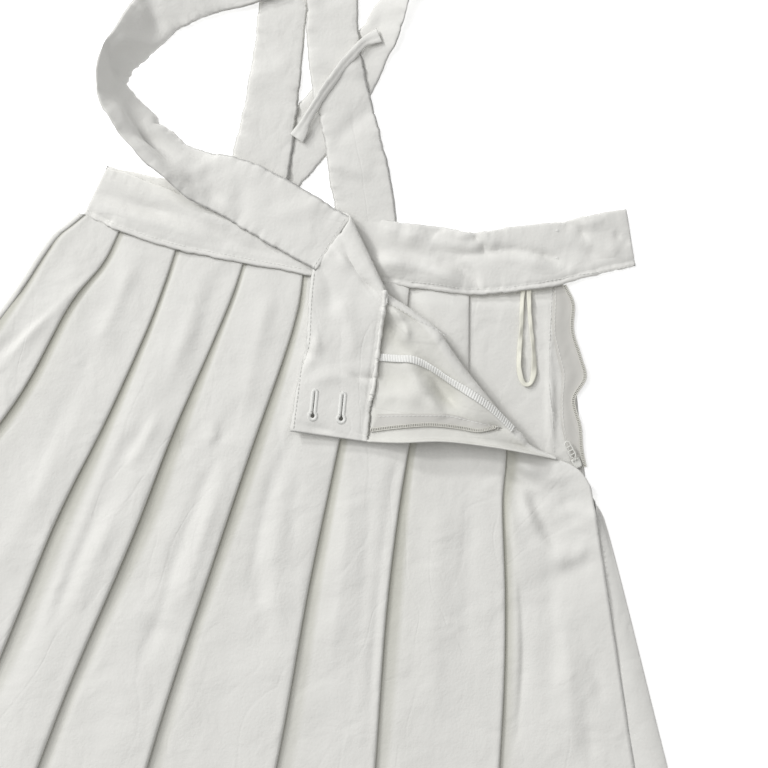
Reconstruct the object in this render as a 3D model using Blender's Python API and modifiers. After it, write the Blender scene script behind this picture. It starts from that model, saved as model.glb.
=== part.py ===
"""Suspender skirt, laid flat with its front up.

A knife pleated skirt with a waistband and two straps. The zip at the right
side is open, and the corner of the front beside it is turned over, so that
it shows its inside. Lengths in the tables are millimetres in the frame of
the garment: x to the right, y from the hem to the straps, z up from the
surface. The front's waist seam crosses x = 0 close to y = 0.
"""

import math

import bmesh
import bpy
import numpy as np

MM = 0.001
ORIGIN_X = 14.5              # middle of the laid garment, in its own frame
ORIGIN_Y = -52.3

# Cloth
WALL = 1.0                   # skirt cloth
BAND_WALL = 2.0              # folded waistband with its seam allowance
STRAP_WALL = 1.6             # folded strap
TAPE_WALL = 0.7
SEAM = 0.3                   # space between pieces that are sewn together

# Skirt
SKIRT_LENGTH = 545.0         # waist seam to hem along a pleat
FAN_X = 22.4                 # the pleat lines meet here, above the waist
FAN_Y = 434.0
FOLD_NOSE = 0.7              # how far a pressed edge stands out from its layers
LAYER = 1.5                  # height from one layer of a pleat to the next
LOW = 0.5                    # middle of the lowest layer above its base
MIDDLE = LOW + LAYER
TOP = MIDDLE + LAYER
FRONT_BASE = 4.3             # the front lies on the back's three layers
PUFF = 2.4                   # the pleats stand up most halfway down

# Waist seam of the front up to the turned corner
WAIST = (
    # x, y
    (-168.4, 6.2),
    (-138.9, -0.8),
    (-99.8, -5.0),
    (-49.8, -4.7),
    (-6.0, -3.4),
    (30.0, -4.4),
    (46.9, -7.5),
)

# Pleats of the front from left to right, by the pressed edge on top
FRONT_PLEATS = (
    # x at the waist, x at the hem, depth at the waist, depth at the hem, opened over
    (-140.8, -331.0, 19.0, 14.0, 0.0),
    (-98.5, -206.0, 30.0, 16.0, 0.0),
    (-49.3, -145.0, 34.0, 16.0, 0.0),
    (-5.5, -58.0, 32.0, 16.0, 0.0),
    (42.0, 51.0, 34.0, 16.0, 0.0),
    (84.5, 141.0, 22.0, 18.0, 0.20),
    (161.0, 245.0, 24.0, 18.0, 0.16),
)
LEFT_SEAM_HEM = -388.0
RIGHT_SEAM_HEM = 379.0

# Edge of the turned corner as it is seen from above, and the size of its roll
FOLD = (
    # x, y, radius
    (54.6, -3.9, 6.0),
    (89.7, -17.0, 7.0),
    (121.0, -43.5, 8.0),
    (151.0, -67.0, 8.0),
    (178.0, -87.0, 4.8),
    (200.0, -92.5, 3.6),
)
SEAM_SLANT = 6.0             # the waist seam crosses the roll aslant
FLAP_REST = 9.3              # middle of the turned cloth where it lies on the front
ZIP_FOOT = (228.0, -110.5)   # lower end of the zip

# Side of the turned corner that is sewn to the band, and its zip edge
FLAP_WAIST = (
    # x, y
    (55.4, -13.6),
    (57.5, -34.9),
    (60.4, -71.0),
    (63.9, -111.6),
)
FLAP_ZIP = (
    # x, y
    (63.9, -111.6),
    (87.6, -107.3),
    (118.0, -100.0),
    (150.0, -97.0),
    (180.0, -96.0),
    (199.4, -96.2),
)

# Front waistband: its seam edge and its upper edge, station by station
FRONT_BAND = (
    # seam x, seam y, seam z, upper x, upper y, upper z
    (-168.0, 7.0, 4.3, -159.8, 41.0, 3.7),
    (-153.0, 2.9, 5.6, -146.4, 41.4, 3.8),
    (-138.9, -0.1, 6.2, -127.3, 38.4, 3.9),
    (-99.8, -4.3, 6.3, -96.7, 34.4, 3.9),
    (-49.8, -4.0, 6.3, -52.0, 34.0, 3.9),
    (-6.0, -2.7, 6.3, -18.0, 35.0, 3.9),
    (36.0, -4.6, 6.0, 4.0, 43.8, 4.0),
)
# Upper edge of the band where it goes round the roll; its seam edge follows the front
BAND_ROLL = (
    # x, y, z
    (8.6, 45.0, 4.6),
    (12.4, 45.8, 5.6),
    (15.6, 45.6, 7.4),
    (17.8, 44.2, 9.8),
    (18.6, 41.6, 12.0),
    (17.8, 37.8, 13.6),
    (16.4, 34.0, 14.0),
    (15.4, 31.6, 13.8),
    (14.2, 29.0, 13.2),
    (12.8, 26.2, 12.6),
    (11.4, 23.4, 12.0),
    (10.0, 20.8, 11.6),
)
ROLL_SEAM = (-0.45, 0.55, 0.7)
# The turned part of the band, down to its buttonhole end
TURNED_BAND = (
    # seam x, seam y, seam z, upper x, upper y, upper z
    (56.3, -26.5, 12.0, 8.0, 16.6, 11.2),
    (57.0, -36.0, 10.4, 4.6, 10.0, 10.6),
    (58.6, -53.0, 9.9, 0.6, 0.2, 10.2),
    (60.0, -71.0, 9.9, 2.4, -21.6, 9.9),
    (60.6, -84.0, 9.9, 6.4, -45.0, 9.9),
    (61.6, -94.0, 9.9, 7.4, -66.0, 9.9),
    (62.6, -103.0, 9.9, 7.2, -90.0, 9.9),
    (63.6, -111.6, 9.9, 9.0, -115.9, 9.9),
)

# Back waistband with its button tab beyond the zip
BACK_BAND = (
    # seam x, seam y, seam z, upper x, upper y, upper z
    (-168.0, 6.6, 1.1, -159.8, 43.0, 1.1),
    (-100.0, 1.0, 1.1, -96.0, 43.0, 1.1),
    (0.0, 1.4, 1.1, 0.0, 45.0, 1.1),
    (53.0, 3.6, 1.2, 53.2, 47.4, 1.4),
    (82.0, 5.6, 1.6, 83.0, 50.2, 2.6),
    (113.0, 8.0, 2.4, 109.0, 51.2, 4.0),
    (135.7, 13.6, 3.4, 129.5, 59.2, 4.6),
    (155.0, 20.8, 4.0, 153.5, 67.2, 4.6),
    (176.5, 29.6, 4.1, 171.0, 72.8, 4.5),
    (203.6, 39.6, 3.2, 187.7, 79.6, 5.0),
    (226.3, 50.3, 1.6, 211.5, 89.1, 3.2),
)

# Waist seam of the back
BACK_WAIST = (
    # x, y
    (-168.4, 5.8),
    (-100.0, 0.2),
    (0.0, 0.6),
    (53.0, 2.8),
    (82.0, 4.8),
    (113.0, 7.2),
    (146.4, 16.8),
    (178.0, 28.6),
    (240.0, 56.0),
)
BACK_PLEATS = 6
BACK_FIRST_PLEAT = -101.7    # inner edge of the first pleat at the waist
BACK_PLEAT_STEP = 43.1
BACK_LAST = 84.5             # at the waist, the surface starts here right of the last pleat
BACK_LAST_HEIGHT = 4.9
BACK_DEPTH_WAIST = 30.0
BACK_DEPTH_HEM = 16.0
BACK_RAMP = 9.0              # the next panel comes down to the surface over this

# Outer contour on both sides, where the back's cloth turns up to the front
SIDE_LEFT = (
    # y, x
    (8.0, -170.3),
    (-8.8, -179.9),
    (-28.7, -194.1),
    (-76.3, -213.4),
    (-502.4, -392.5),
)
SIDE_RIGHT = (
    # y, x
    (30.7, 182.0),
    (-35.0, 204.0),
    (-107.4, 227.5),
    (-126.4, 240.5),
    (-171.4, 263.9),
    (-296.7, 325.1),
    (-489.0, 420.0),
)

# Straps, from the end on the front band over the top to the end on the back band
STRAP_ONE = (
    # x, y, z, width, tilt
    (-52.0, 37.0, 4.3, 43.0, 0.0),
    (-52.0, 70.0, 3.6, 42.5, 0.0),
    (-51.8, 105.0, 3.2, 41.0, 0.0),
    (-52.8, 129.0, 3.1, 39.4, 0.0),
    (-56.0, 153.0, 1.3, 37.6, 0.0),
    (-60.3, 187.0, 1.1, 35.0, 0.0),
    (-66.0, 260.0, 1.1, 34.5, 0.0),
    (-73.0, 350.0, 1.1, 34.0, 0.0),
    (-78.0, 430.0, 1.1, 34.0, 0.0),
    (-78.8, 441.0, 1.2, 34.0, 0.0),
    (-79.0, 443.4, 2.4, 34.0, 0.0),
    (-78.6, 441.0, 3.6, 34.0, 0.0),
    (-76.0, 430.0, 3.7, 34.0, 0.0),
    (-58.0, 350.0, 3.4, 34.0, 0.0),
    (-39.0, 260.0, 3.6, 34.5, 0.0),
    (-25.1, 194.1, 3.8, 37.0, 0.0),
    (-14.6, 144.9, 3.7, 40.0, 0.0),
    (7.9, 98.1, 3.5, 42.0, 0.0),
    (22.4, 69.0, 2.0, 43.0, 0.0),
    (33.4, 47.4, 1.4, 41.0, 0.0),
)
STRAP_TWO = (
    # x, y, z, width, tilt
    (8.0, 22.4, 10.1, 45.0, 0.0),
    (-31.1, 35.4, 9.0, 47.0, 0.0),
    (-64.8, 45.6, 8.3, 44.0, 0.0),
    (-88.7, 51.0, 7.6, 42.0, 0.0),
    (-111.8, 58.7, 7.8, 41.0, 8.0),
    (-137.0, 72.6, 10.6, 40.0, 24.0),
    (-156.0, 87.0, 14.4, 39.0, 42.0),
    (-167.6, 99.6, 17.0, 38.0, 56.0),
    (-169.6, 113.0, 17.4, 38.0, 60.0),
    (-164.6, 130.5, 15.4, 38.0, 48.0),
    (-154.7, 148.4, 12.0, 38.0, 32.0),
    (-142.0, 165.0, 9.0, 38.0, 17.0),
    (-117.7, 183.3, 6.8, 38.0, 6.0),
    (-86.3, 200.0, 5.8, 37.5, 0.0),
    (-55.8, 222.8, 5.7, 37.0, 0.0),
    (-32.1, 252.0, 5.9, 36.0, 2.0),
    (-14.0, 290.0, 8.4, 36.0, 12.0),
    (2.0, 330.0, 12.0, 36.0, 32.0),
    (22.0, 356.0, 16.2, 36.0, 56.0),
    (45.0, 359.0, 17.8, 36.0, 68.0),
    (60.0, 338.0, 17.4, 36.0, 64.0),
    (60.0, 305.0, 15.8, 36.0, 54.0),
    (49.0, 268.0, 14.4, 36.0, 48.0),
    (34.0, 235.0, 13.2, 36.0, 42.0),
    (22.5, 208.0, 12.2, 36.0, 38.0),
    (15.8, 187.0, 7.2, 37.0, 20.0),
    (12.4, 176.0, 4.0, 37.0, 9.5),
    (8.0, 164.0, 1.4, 37.0, 1.0),
    (-0.4, 140.5, 1.1, 37.0, 0.0),
    (-14.3, 112.5, 1.1, 38.0, 0.0),
    (-27.0, 86.0, 1.1, 38.0, 0.0),
    (-39.0, 61.0, 1.1, 38.0, 0.0),
    (-43.0, 44.8, 1.1, 38.0, 0.0),
)
STRAP_STATIONS = 46
END_TURN = 60.0              # a strap's cross direction turns to its seam over this
ONE_FIRST_SIDE = (-1.0, 0.0)
ONE_LAST_SIDE = (-0.999, -0.045)
TWO_FIRST_SIDE = (-0.365, -0.931)
TWO_LAST_SIDE = (1.0, 0.0)

# Narrow keeper strip over the right back strap, sewn to the left back strap
KEEPER = (
    # x, y, z, width, tilt
    (-26.6, 99.8, 2.9, 9.0, 0.0),
    (-24.8, 103.2, 4.4, 9.0, 0.0),
    (-22.4, 107.8, 5.6, 9.0, 0.0),
    (-12.0, 127.0, 5.7, 9.0, 0.0),
    (2.0, 156.0, 5.6, 9.0, 0.0),
    (7.0, 166.0, 5.5, 9.0, 0.0),
    (11.5, 174.7, 6.1, 9.0, 0.0),
)
KEEPER_WALL = 1.0

# Satin hanger loop on the inside of the back
HANGER = (
    # x, y, z, width, tilt
    (151.4, 23.4, 2.2, 4.0, 0.0),
    (151.6, 14.0, 2.0, 4.0, 0.0),
    (154.4, -3.1, 1.9, 4.0, 0.0),
    (157.0, -24.6, 1.8, 4.0, 0.0),
    (159.6, -38.0, 1.8, 4.0, 0.0),
    (163.6, -45.4, 1.8, 4.0, 0.0),
    (168.6, -46.6, 1.8, 4.0, 0.0),
    (171.0, -40.0, 1.8, 4.0, 0.0),
    (168.4, -22.6, 1.9, 4.0, 0.0),
    (163.0, -3.0, 2.0, 4.0, 0.0),
    (158.6, 14.0, 2.0, 4.0, 0.0),
    (158.4, 24.6, 2.2, 4.0, 0.0),
)
HANGER_WALL = 0.8

# Back half of the zip: tape with a wavy outer edge
ZIP_BACK = (
    # inner x, inner y, outer x, outer y, lift
    (172.6, 26.0, 180.4, 27.6, 0.6),
    (174.6, 13.5, 189.0, 15.6, 1.6),
    (177.9, -5.6, 192.6, -3.2, 0.8),
    (184.4, -21.0, 202.0, -20.6, 1.8),
    (191.2, -35.7, 208.3, -34.5, 2.2),
    (194.0, -50.0, 203.8, -51.6, 0.8),
    (197.4, -67.5, 212.0, -69.0, 1.8),
    (203.6, -82.0, 216.6, -84.4, 1.2),
    (210.6, -96.0, 221.6, -96.6, 0.4),
)

# Slider, its pull tab and the buttons
SLIDER_AT = (214.6, -95.4)
SLIDER_TURN = math.radians(39.0)     # the zip's line, from the y axis
SLIDER_LENGTH = 8.0
SLIDER_WIDTH = 6.4
SLIDER_HEIGHT = 2.2
SLIDER_BASE = 3.1
LUG_WIDTH = 0.9
LUG_LENGTH = 1.8
LUG_HEIGHT = 1.3
LUG_GAP = 0.3                # space between a lug and the tab
PULL_LENGTH = 15.0
PULL_WIDTH = 5.0
PULL_NECK = 1.8              # width of the tab between the lugs
PULL_WALL = 0.9
PULL_BEHIND = 0.5            # the tab ends this far behind its pin
PIN_AHEAD = 2.6              # the pin's place from the middle of the slider
PIN_HEIGHT = 6.15
BUTTON_RADIUS = 5.75
BUTTON_HEIGHT = 2.2
BUTTON_BASE = 0.3
BUTTONS = ((166.3, 64.6), (170.5, 45.4))

# Keyhole buttonholes near the end of the front band
BUTTONHOLES = (
    # slit x, slit y, eye x, eye y
    (20.8, -84.5, 22.6, -101.5),
    (40.9, -82.4, 42.9, -99.4),
)
SLIT_WIDTH = 1.4
EYE_RADIUS = 2.0

# How the back meets the front at the sides
LEFT_WAIST = -166.0          # the waist seam's ends
RIGHT_WAIST = 176.0
EDGE_BOW = (2.6, 3.6)        # the front's edge bows out between the roll and the zip's foot
EDGE_LIFT = 3.4              # and stands up there over the slider
FRONT_KNEE = 0.075           # share of the length at which the front's edge reaches the zip's foot
SIDE_SEAM = 0.6              # room beside a seam where two slanting edges meet
SEAM_INSET = 5.0             # the left seam lies this far inside the contour
SEAM_LAYER = FRONT_BASE + LOW + 1.3
SIDE_TURNS = tuple(math.radians(turn) for turn in (90.0, 45.0, 0.0, -45.0, -90.0))
CLOSING = 50.0               # below the zip the right side closes over this
ZIP_ALLOWANCE = 3.0          # cloth edge inside the tape's wavy edge
EDGE_REST = 1.6              # cloth beyond the side fold where it lies flat
TAPE_COLUMNS = 4

FIRST_TURNED = 5             # panels from this one on reach the turned corner
START_SHIFT = 3.4            # the first turned column stands clear of the pleat beside it
OPEN_STEP = 1.6              # spacing of a pleat's points where it has opened out
FRONT_ROWS = (0.0, 0.03, 0.05, 0.075, 0.1, 0.13, 0.16, 0.2, 0.28, 0.37, 0.48, 0.6, 0.74, 0.87, 1.0)
ROLL_STEPS = 6
FLAP_ROWS = (0.0, 0.1, 0.22, 0.4, 0.68, 1.0)


def clear_scene():
    for old in list(bpy.data.objects):
        bpy.data.objects.remove(old)


def material(name, colour, roughness, metallic=0.0):
    """A plain Principled surface."""
    new = bpy.data.materials.new(name)
    new.use_nodes = True
    shader = new.node_tree.nodes["Principled BSDF"]
    shader.inputs["Base Color"].default_value = (*colour, 1.0)
    shader.inputs["Roughness"].default_value = roughness
    shader.inputs["Metallic"].default_value = metallic
    return new


def smooth(rows, count):
    """Catmull-Rom curve through the rows of a table, with count even steps."""
    rows = np.asarray(rows, float)
    before = 2.0 * rows[0] - rows[1]
    after = 2.0 * rows[-1] - rows[-2]
    full = np.vstack((before, rows, after))
    at = np.linspace(0.0, len(rows) - 1.0, count)
    first = np.minimum(at.astype(int), len(rows) - 2)
    u = (at - first)[:, None]
    p0, p1, p2, p3 = (full[first + step] for step in range(4))
    return 0.5 * (2.0 * p1 + (p2 - p0) * u + (2.0 * p0 - 5.0 * p1 + 4.0 * p2 - p3) * u ** 2
                  + (3.0 * p1 - p0 - 3.0 * p2 + p3) * u ** 3)


def by_length(points, count):
    """Spread points evenly along the curve that they draw."""
    steps = np.linalg.norm(np.diff(points[:, :3], axis=0), axis=1)
    length = np.concatenate(([0.0], np.cumsum(steps)))
    at = np.linspace(0.0, length[-1], count)
    return np.column_stack([np.interp(at, length, column) for column in points.T])


def ease(value):
    """Smooth step from 0 to 1."""
    value = np.clip(value, 0.0, 1.0)
    return value * value * (3.0 - 2.0 * value)


def look_up(table, key):
    """The second column of a table at a value of its first column."""
    dense = smooth(table, 200)
    if dense[0, 0] > dense[-1, 0]:
        dense = dense[::-1]
    return np.interp(key, dense[:, 0], dense[:, 1])


def grid_faces(rows, columns, start=0):
    """Quads of a grid whose points are numbered row by row."""
    return [(start + r * columns + c, start + (r + 1) * columns + c,
             start + (r + 1) * columns + c + 1, start + r * columns + c + 1)
            for r in range(rows - 1) for c in range(columns - 1)]


def cloth_object(name, points, faces, wall, look, parts):
    """An open sheet with a wall: points in the garment's millimetres."""
    shift = np.array((ORIGIN_X, ORIGIN_Y, 0.0))
    mesh = bpy.data.meshes.new(name)
    mesh.from_pydata(((np.asarray(points) - shift) * MM).tolist(), [], faces)
    mesh.materials.append(look)
    new = bpy.data.objects.new(name, mesh)
    parts.objects.link(new)
    shell = new.modifiers.new("Wall", 'SOLIDIFY')
    shell.thickness = wall * MM
    shell.offset = 0.0
    shell.use_quality_normals = True
    mesh.shade_smooth()
    return new


def hem_height(x):
    """Height of the hem at x: each pleat line has the same length."""
    angle = np.radians(np.linspace(-32.0, 32.0, 129))
    hem_x = FAN_X + FAN_Y * np.tan(angle) + SKIRT_LENGTH * np.sin(angle)
    return np.interp(x, hem_x, -SKIRT_LENGTH * np.cos(angle))


class TurnedFold:
    """The roll over which the front's corner is turned."""

    def __init__(self):
        dense = smooth(FOLD, 160)
        step = np.linalg.norm(np.diff(dense[:, :2], axis=0), axis=1)
        self.length = np.concatenate(([0.0], np.cumsum(step)))
        self.edge = dense[:, :2]
        self.radius = dense[:, 2]
        tangent = np.gradient(self.edge, axis=0)
        tangent[:20] = tangent[20]
        tangent /= np.linalg.norm(tangent, axis=1)[:, None]
        self.out = np.column_stack((-tangent[:, 1], tangent[:, 0]))
        self.along = tangent

    def at(self, where):
        """Edge point, outward direction and radius at a length along the fold."""
        edge = np.stack([np.interp(where, self.length, column) for column in self.edge.T], -1)
        out = np.stack([np.interp(where, self.length, column) for column in self.out.T], -1)
        before = np.minimum(where, 0.0)[..., None]
        edge = edge + before * self.along[0]
        return edge, out, np.interp(where, self.length, self.radius)

    def foot(self, where):
        """Where the roll leaves the flat front."""
        edge, out, radius = self.at(where)
        return edge - out * radius[..., None]

    def where(self, x):
        """Length along the fold at which its foot has this x."""
        length = np.concatenate(([-SEAM_SLANT], self.length))
        return np.interp(x, self.foot(length)[:, 0], length)


def front_columns():
    """Columns of the front, each as the number of its pleat and its kind.

    A pleat's columns run from the cloth left of it over its pressed edge and
    back under it. The last columns lie between the last pleat and the zip.
    """
    count = len(FRONT_PLEATS)
    columns = []
    for pleat in range(count):
        columns += [(pleat, kind) for kind in
                    ("start", "ridge", "rise", "shoulder", "edge", "nose", "under",
                     "back", "inner", "return")]
    columns += [(count, kind) for kind in ("start", "ridge", "rise", "seam")]
    return columns


def front_lines(share):
    """Pressed edges of the front and its side seams at a share of the length."""
    fold = TurnedFold()
    waist_x = [LEFT_WAIST] + [row[0] for row in FRONT_PLEATS]
    hem_x = [LEFT_SEAM_HEM] + [row[1] for row in FRONT_PLEATS]
    top_x = np.array(waist_x)
    top_y = front_top(top_x, fold)
    low_x = np.array(hem_x)
    x = top_x + (low_x - top_x) * share
    y = top_y + (hem_height(low_x) - top_y) * share
    # The left seam bulges out quickly below the band.
    x[0] = look_up(SIDE_LEFT, y[0]) + SEAM_INSET
    # The right seam goes from the roll to the foot of the zip and on to the hem.
    foot = fold.foot(fold.length[-1:])[0]
    knee = FRONT_KNEE
    if share < knee:
        right = foot + (np.array(ZIP_FOOT) - foot) * share / knee
        right = right + np.array(EDGE_BOW) * math.sin(math.pi * share / knee)
    else:
        low = np.array((RIGHT_SEAM_HEM, hem_height(RIGHT_SEAM_HEM)))
        right = np.array(ZIP_FOOT) + (low - np.array(ZIP_FOOT)) * (share - knee) / (1.0 - knee)
    return np.append(x, right[0]), np.append(y, right[1])


def front_top(x, fold):
    """Height of the front's first row: the waist seam, then the foot of the roll."""
    waist = look_up(WAIST, x)
    foot = fold.foot(fold.length)
    start = fold.foot(np.array([-SEAM_SLANT]))[0]
    foot = np.vstack((start, foot))
    rolled = np.interp(x, foot[:, 0], foot[:, 1])
    return np.where(x < start[0], waist, rolled)


def front_section(share):
    """Points across the front at a share of its length, from left to right."""
    lines_x, lines_y = front_lines(share)
    fold = TurnedFold()
    top_lines_x, top_lines_y = front_lines(0.0)
    puff = PUFF * math.sin(math.pi * ease((share - 0.16) / 0.84)) ** 2
    points = []
    pleats = len(FRONT_PLEATS)
    for number, kind in front_columns():
        left = lines_x[number]
        line = lines_x[min(number + 1, pleats + 1)]
        start = left + (0.0 if number == 0 else 1.5)
        if number and FRONT_PLEATS[number - 1][4]:
            start += OPEN_STEP * 3.2 * (1.0 - ease(share / FRONT_PLEATS[number - 1][4]))
        elif number == FIRST_TURNED:
            start += START_SHIFT * (1.0 - ease(share / 0.13))
        if number < pleats:
            depth_waist, depth_hem, opened = FRONT_PLEATS[number][2:]
            depth = depth_waist + (depth_hem - depth_waist) * share
            closed = ease(share / opened) if opened else 1.0
        room = line - left
        if number == pleats:
            offsets = {"start": (start, LOW), "ridge": (start + 0.16 * room, LOW + 0.9),
                       "rise": (left + 0.55 * room, LOW + 1.6 + 0.5 * puff),
                       "seam": (line, LOW + 1.6)}
            x, z = offsets[kind]
            lift = EDGE_LIFT * math.sin(math.pi * min(share / (2.0 * FRONT_KNEE), 1.0))
            z += lift * {"rise": 0.5, "seam": 1.0}.get(kind, 0.0)
        else:
            inner = line - depth
            clear = max(0.35 * (inner - left), 3.0)
            rise = max(inner - clear, start + 3.0)
            first = LOW + 1.0 if number == 0 else LOW
            shut = {"start": (start, first),
                    "ridge": (start + 0.45 * (rise - start), first + 0.9),
                    "rise": (rise, TOP - 0.5 + 0.8 * puff),
                    "shoulder": (inner + 0.55 * depth, TOP + 0.25 + puff),
                    "edge": (line - FOLD_NOSE, TOP + 0.45 * puff),
                    "nose": (line, TOP - 0.5 * LAYER + 0.3 * puff),
                    "under": (line - FOLD_NOSE, MIDDLE + 0.15 * puff),
                    "back": (inner + FOLD_NOSE, MIDDLE),
                    "inner": (inner, MIDDLE - 0.5 * LAYER),
                    "return": (inner + FOLD_NOSE, LOW)}
            places = ("shoulder", "edge", "nose", "under", "back", "inner", "return")
            x, z = shut[kind]
            if kind in places and closed < 1.0:
                order = places.index(kind)
                open_x = line + (order - 3.0) * OPEN_STEP * (2.0 if kind == "shoulder" else 1.0)
                open_z = LOW + 1.7 - 0.28 * order
                x = open_x + (x - open_x) * closed
                z = open_z + (z - open_z) * ease(8.0 * closed)
            elif kind == "rise" and closed < 1.0:
                open_x = left + 0.62 * room
                x = open_x + (x - open_x) * closed
                z = LOW + 1.4 + (z - LOW - 1.4) * closed
        top_x = np.clip(x, top_lines_x[0], top_lines_x[-1])
        bend = front_top(top_x, fold) - np.interp(top_x, top_lines_x, top_lines_y)
        y = np.interp(x, lines_x, lines_y) + bend * (1.0 - ease(share / 0.4))
        points.append((x, y, FRONT_BASE + z))
    return np.array(points)


def turned_corner(first_row, start_column):
    """Roll and turned cloth that go on from the front's first row.

    Each column goes round the roll, at the height of its layer, and then lies
    back over the front to its place on the waist seam.
    """
    fold = TurnedFold()
    row = first_row[start_column:]
    count = len(row)
    low = fold.where(row[:, 0])
    low[0] = -SEAM_SLANT
    spread = (low - low[0]) / (low[-1] - low[0])
    high = SEAM_SLANT + (low[-1] - SEAM_SLANT) * spread
    layer = row[:, 2] - FRONT_BASE
    rows = []
    for step in range(1, ROLL_STEPS + 1):
        turn = math.pi * step / ROLL_STEPS
        edge, out, radius = fold.at(low + (high - low) * step / ROLL_STEPS)
        arm = radius - layer
        plan = edge - out * radius[:, None] + out * (arm * math.sin(turn))[:, None]
        height = FRONT_BASE + radius - arm * math.cos(turn)
        rows.append(np.column_stack((plan, height)))
    top = rows[-1]
    waist = by_length(smooth(FLAP_WAIST, 60), 200)
    seam_start = 0.07
    along = seam_start + (1.0 - seam_start) * ease(0.5 * (spread + spread ** 1.3)) ** 0.9
    at = np.clip(along * 199.0, 0.0, 199.0)
    target = np.column_stack([np.interp(at, np.arange(200), column) for column in waist.T])
    zip_edge = by_length(smooth(FLAP_ZIP, 60), 200)[::-1]
    for share in FLAP_ROWS[1:]:
        plan = top[:, :2] + (target - top[:, :2]) * share
        # The last column follows the zip edge.
        chord = zip_edge[0] + (zip_edge[-1] - zip_edge[0]) * share
        bow = np.array([np.interp(share * 199.0, np.arange(200), column)
                        for column in zip_edge.T]) - chord
        plan = plan + bow * (spread[:, None] ** 3)
        gone = np.linalg.norm(plan - top[:, :2], axis=1)
        drop = ease(gone / 42.0)
        height = top[:, 2] + (FLAP_REST - top[:, 2]) * drop
        rows.append(np.column_stack((plan, height)))
    return rows, count


def front_sheet():
    """Points and faces of the front with its turned corner."""
    sections = [front_section(share) for share in FRONT_ROWS]
    columns = front_columns()
    start = columns.index((FIRST_TURNED, "start"))
    points = np.vstack(sections)
    faces = grid_faces(len(sections), len(columns))
    rows, count = turned_corner(sections[0], start)
    above = [start + index for index in range(count)]
    for row in rows:
        base = len(points)
        points = np.vstack((points, row))
        this = [base + index for index in range(count)]
        faces += [(this[c], above[c], above[c + 1], this[c + 1]) for c in range(count - 1)]
        above = this
    return points, faces, rows, sections[0][start]


def back_section(share):
    """Points across the back at a share of its length, from the left seam to the right one."""
    lines_x, lines_y = front_lines(share)
    bend = 0.5 * (SEAM_LAYER - LOW)
    points = [(lines_x[0] - SIDE_SEAM, lines_y[0], SEAM_LAYER)]
    for turn in SIDE_TURNS:
        contour = lines_x[0] - SEAM_INSET
        points.append((contour + bend * (1.0 - math.cos(turn)) + 0.5 * WALL, lines_y[0],
                       LOW + bend * (1.0 + math.sin(turn))))
    # The right side has its own share: it starts beside the open zip.
    knee = FRONT_KNEE
    start_y = SIDE_RIGHT[0][0]
    right_y = lines_y[-1] if share >= knee else start_y + (ZIP_FOOT[1] - start_y) * share / knee
    right_share = (right_y - start_y) / (hem_height(RIGHT_SEAM_HEM) - start_y)
    # Pleats: each panel lies on the surface with its folded layers above it.
    for pleat in range(BACK_PLEATS):
        waist_x = BACK_FIRST_PLEAT + BACK_PLEAT_STEP * pleat
        own = share + (right_share - share) * ease(waist_x / RIGHT_WAIST)
        hem_x = waist_x + SKIRT_LENGTH * math.sin(math.atan((waist_x - FAN_X) / FAN_Y))
        waist_y = float(look_up(BACK_WAIST, waist_x))
        inner = waist_x + (hem_x - waist_x) * own
        y = waist_y + (float(hem_height(hem_x)) - waist_y) * own
        outer = inner - BACK_DEPTH_WAIST - (BACK_DEPTH_HEM - BACK_DEPTH_WAIST) * own
        fold = ((outer - BACK_RAMP, LOW),
                (outer - FOLD_NOSE, TOP),
                (inner - FOLD_NOSE, TOP),
                (inner, TOP - 0.5 * LAYER),
                (inner - FOLD_NOSE, MIDDLE),
                (outer + FOLD_NOSE, MIDDLE),
                (outer, LOW + 0.5 * LAYER),
                (outer + FOLD_NOSE, LOW))
        for x, z in fold:
            fall = float(look_up(BACK_WAIST, waist_x + x - inner)) - waist_y
            points.append((x, y + fall * (1.0 - own), z))
    # Right side: flat beside the open zip, and round to the front's seam below it.
    contour = float(look_up(SIDE_RIGHT, right_y))
    closed = float(ease((ZIP_FOOT[1] - right_y) / CLOSING))
    edge_x = contour - ZIP_ALLOWANCE
    last = points[-1]
    rest_x = edge_x - math.pi * bend - EDGE_REST
    for part in (0.3, 0.6):
        waist_x = BACK_LAST + (rest_x - BACK_LAST) * part
        straight = BACK_LAST_HEIGHT + (start_y - BACK_LAST_HEIGHT) * part
        sag = (float(look_up(BACK_WAIST, waist_x)) - straight) * (1.0 - float(ease(share / 0.3)))
        points.append((last[0] + (rest_x - last[0]) * part,
                       last[1] + (right_y - last[1]) * part + sag, LOW))
    turned = max(math.pi * closed, 1e-3)
    length = math.pi * bend
    start_x = edge_x - length - EDGE_REST
    start_x += (contour - bend - 0.5 * WALL - start_x) * closed
    radius = length / turned
    high = 1.0 - float(ease(share / 0.3))
    for part in np.linspace(0.0, 1.0, len(SIDE_TURNS)):
        x = start_x + radius * math.sin(turned * part)
        sag = min(float(look_up(BACK_WAIST, x)) - start_y, 0.0) * high
        points.append((x, right_y + sag, LOW + radius * (1.0 - math.cos(turned * part))))
    beyond = EDGE_REST + (points[-1][0] - lines_x[-1] - SIDE_SEAM - EDGE_REST) * closed ** 3
    points.append((points[-1][0] + beyond * math.cos(turned), points[-1][1],
                   points[-1][2] + beyond * math.sin(turned)))
    return np.array(points)


def back_sheet():
    """Points, faces and first row of the back."""
    sections = [back_section(share) for share in FRONT_ROWS]
    return np.vstack(sections), grid_faces(len(sections), len(sections[0])), sections[0]


def front_band_rows(rows, first_row):
    """Stations of the front band: flat, round the roll, and turned over."""
    seam = np.array([first_row] + [row[0] for row in rows]) + np.array(ROLL_SEAM)
    roll = np.hstack((seam, np.array(BAND_ROLL)))
    return np.vstack((FRONT_BAND, roll, TURNED_BAND))


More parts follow.
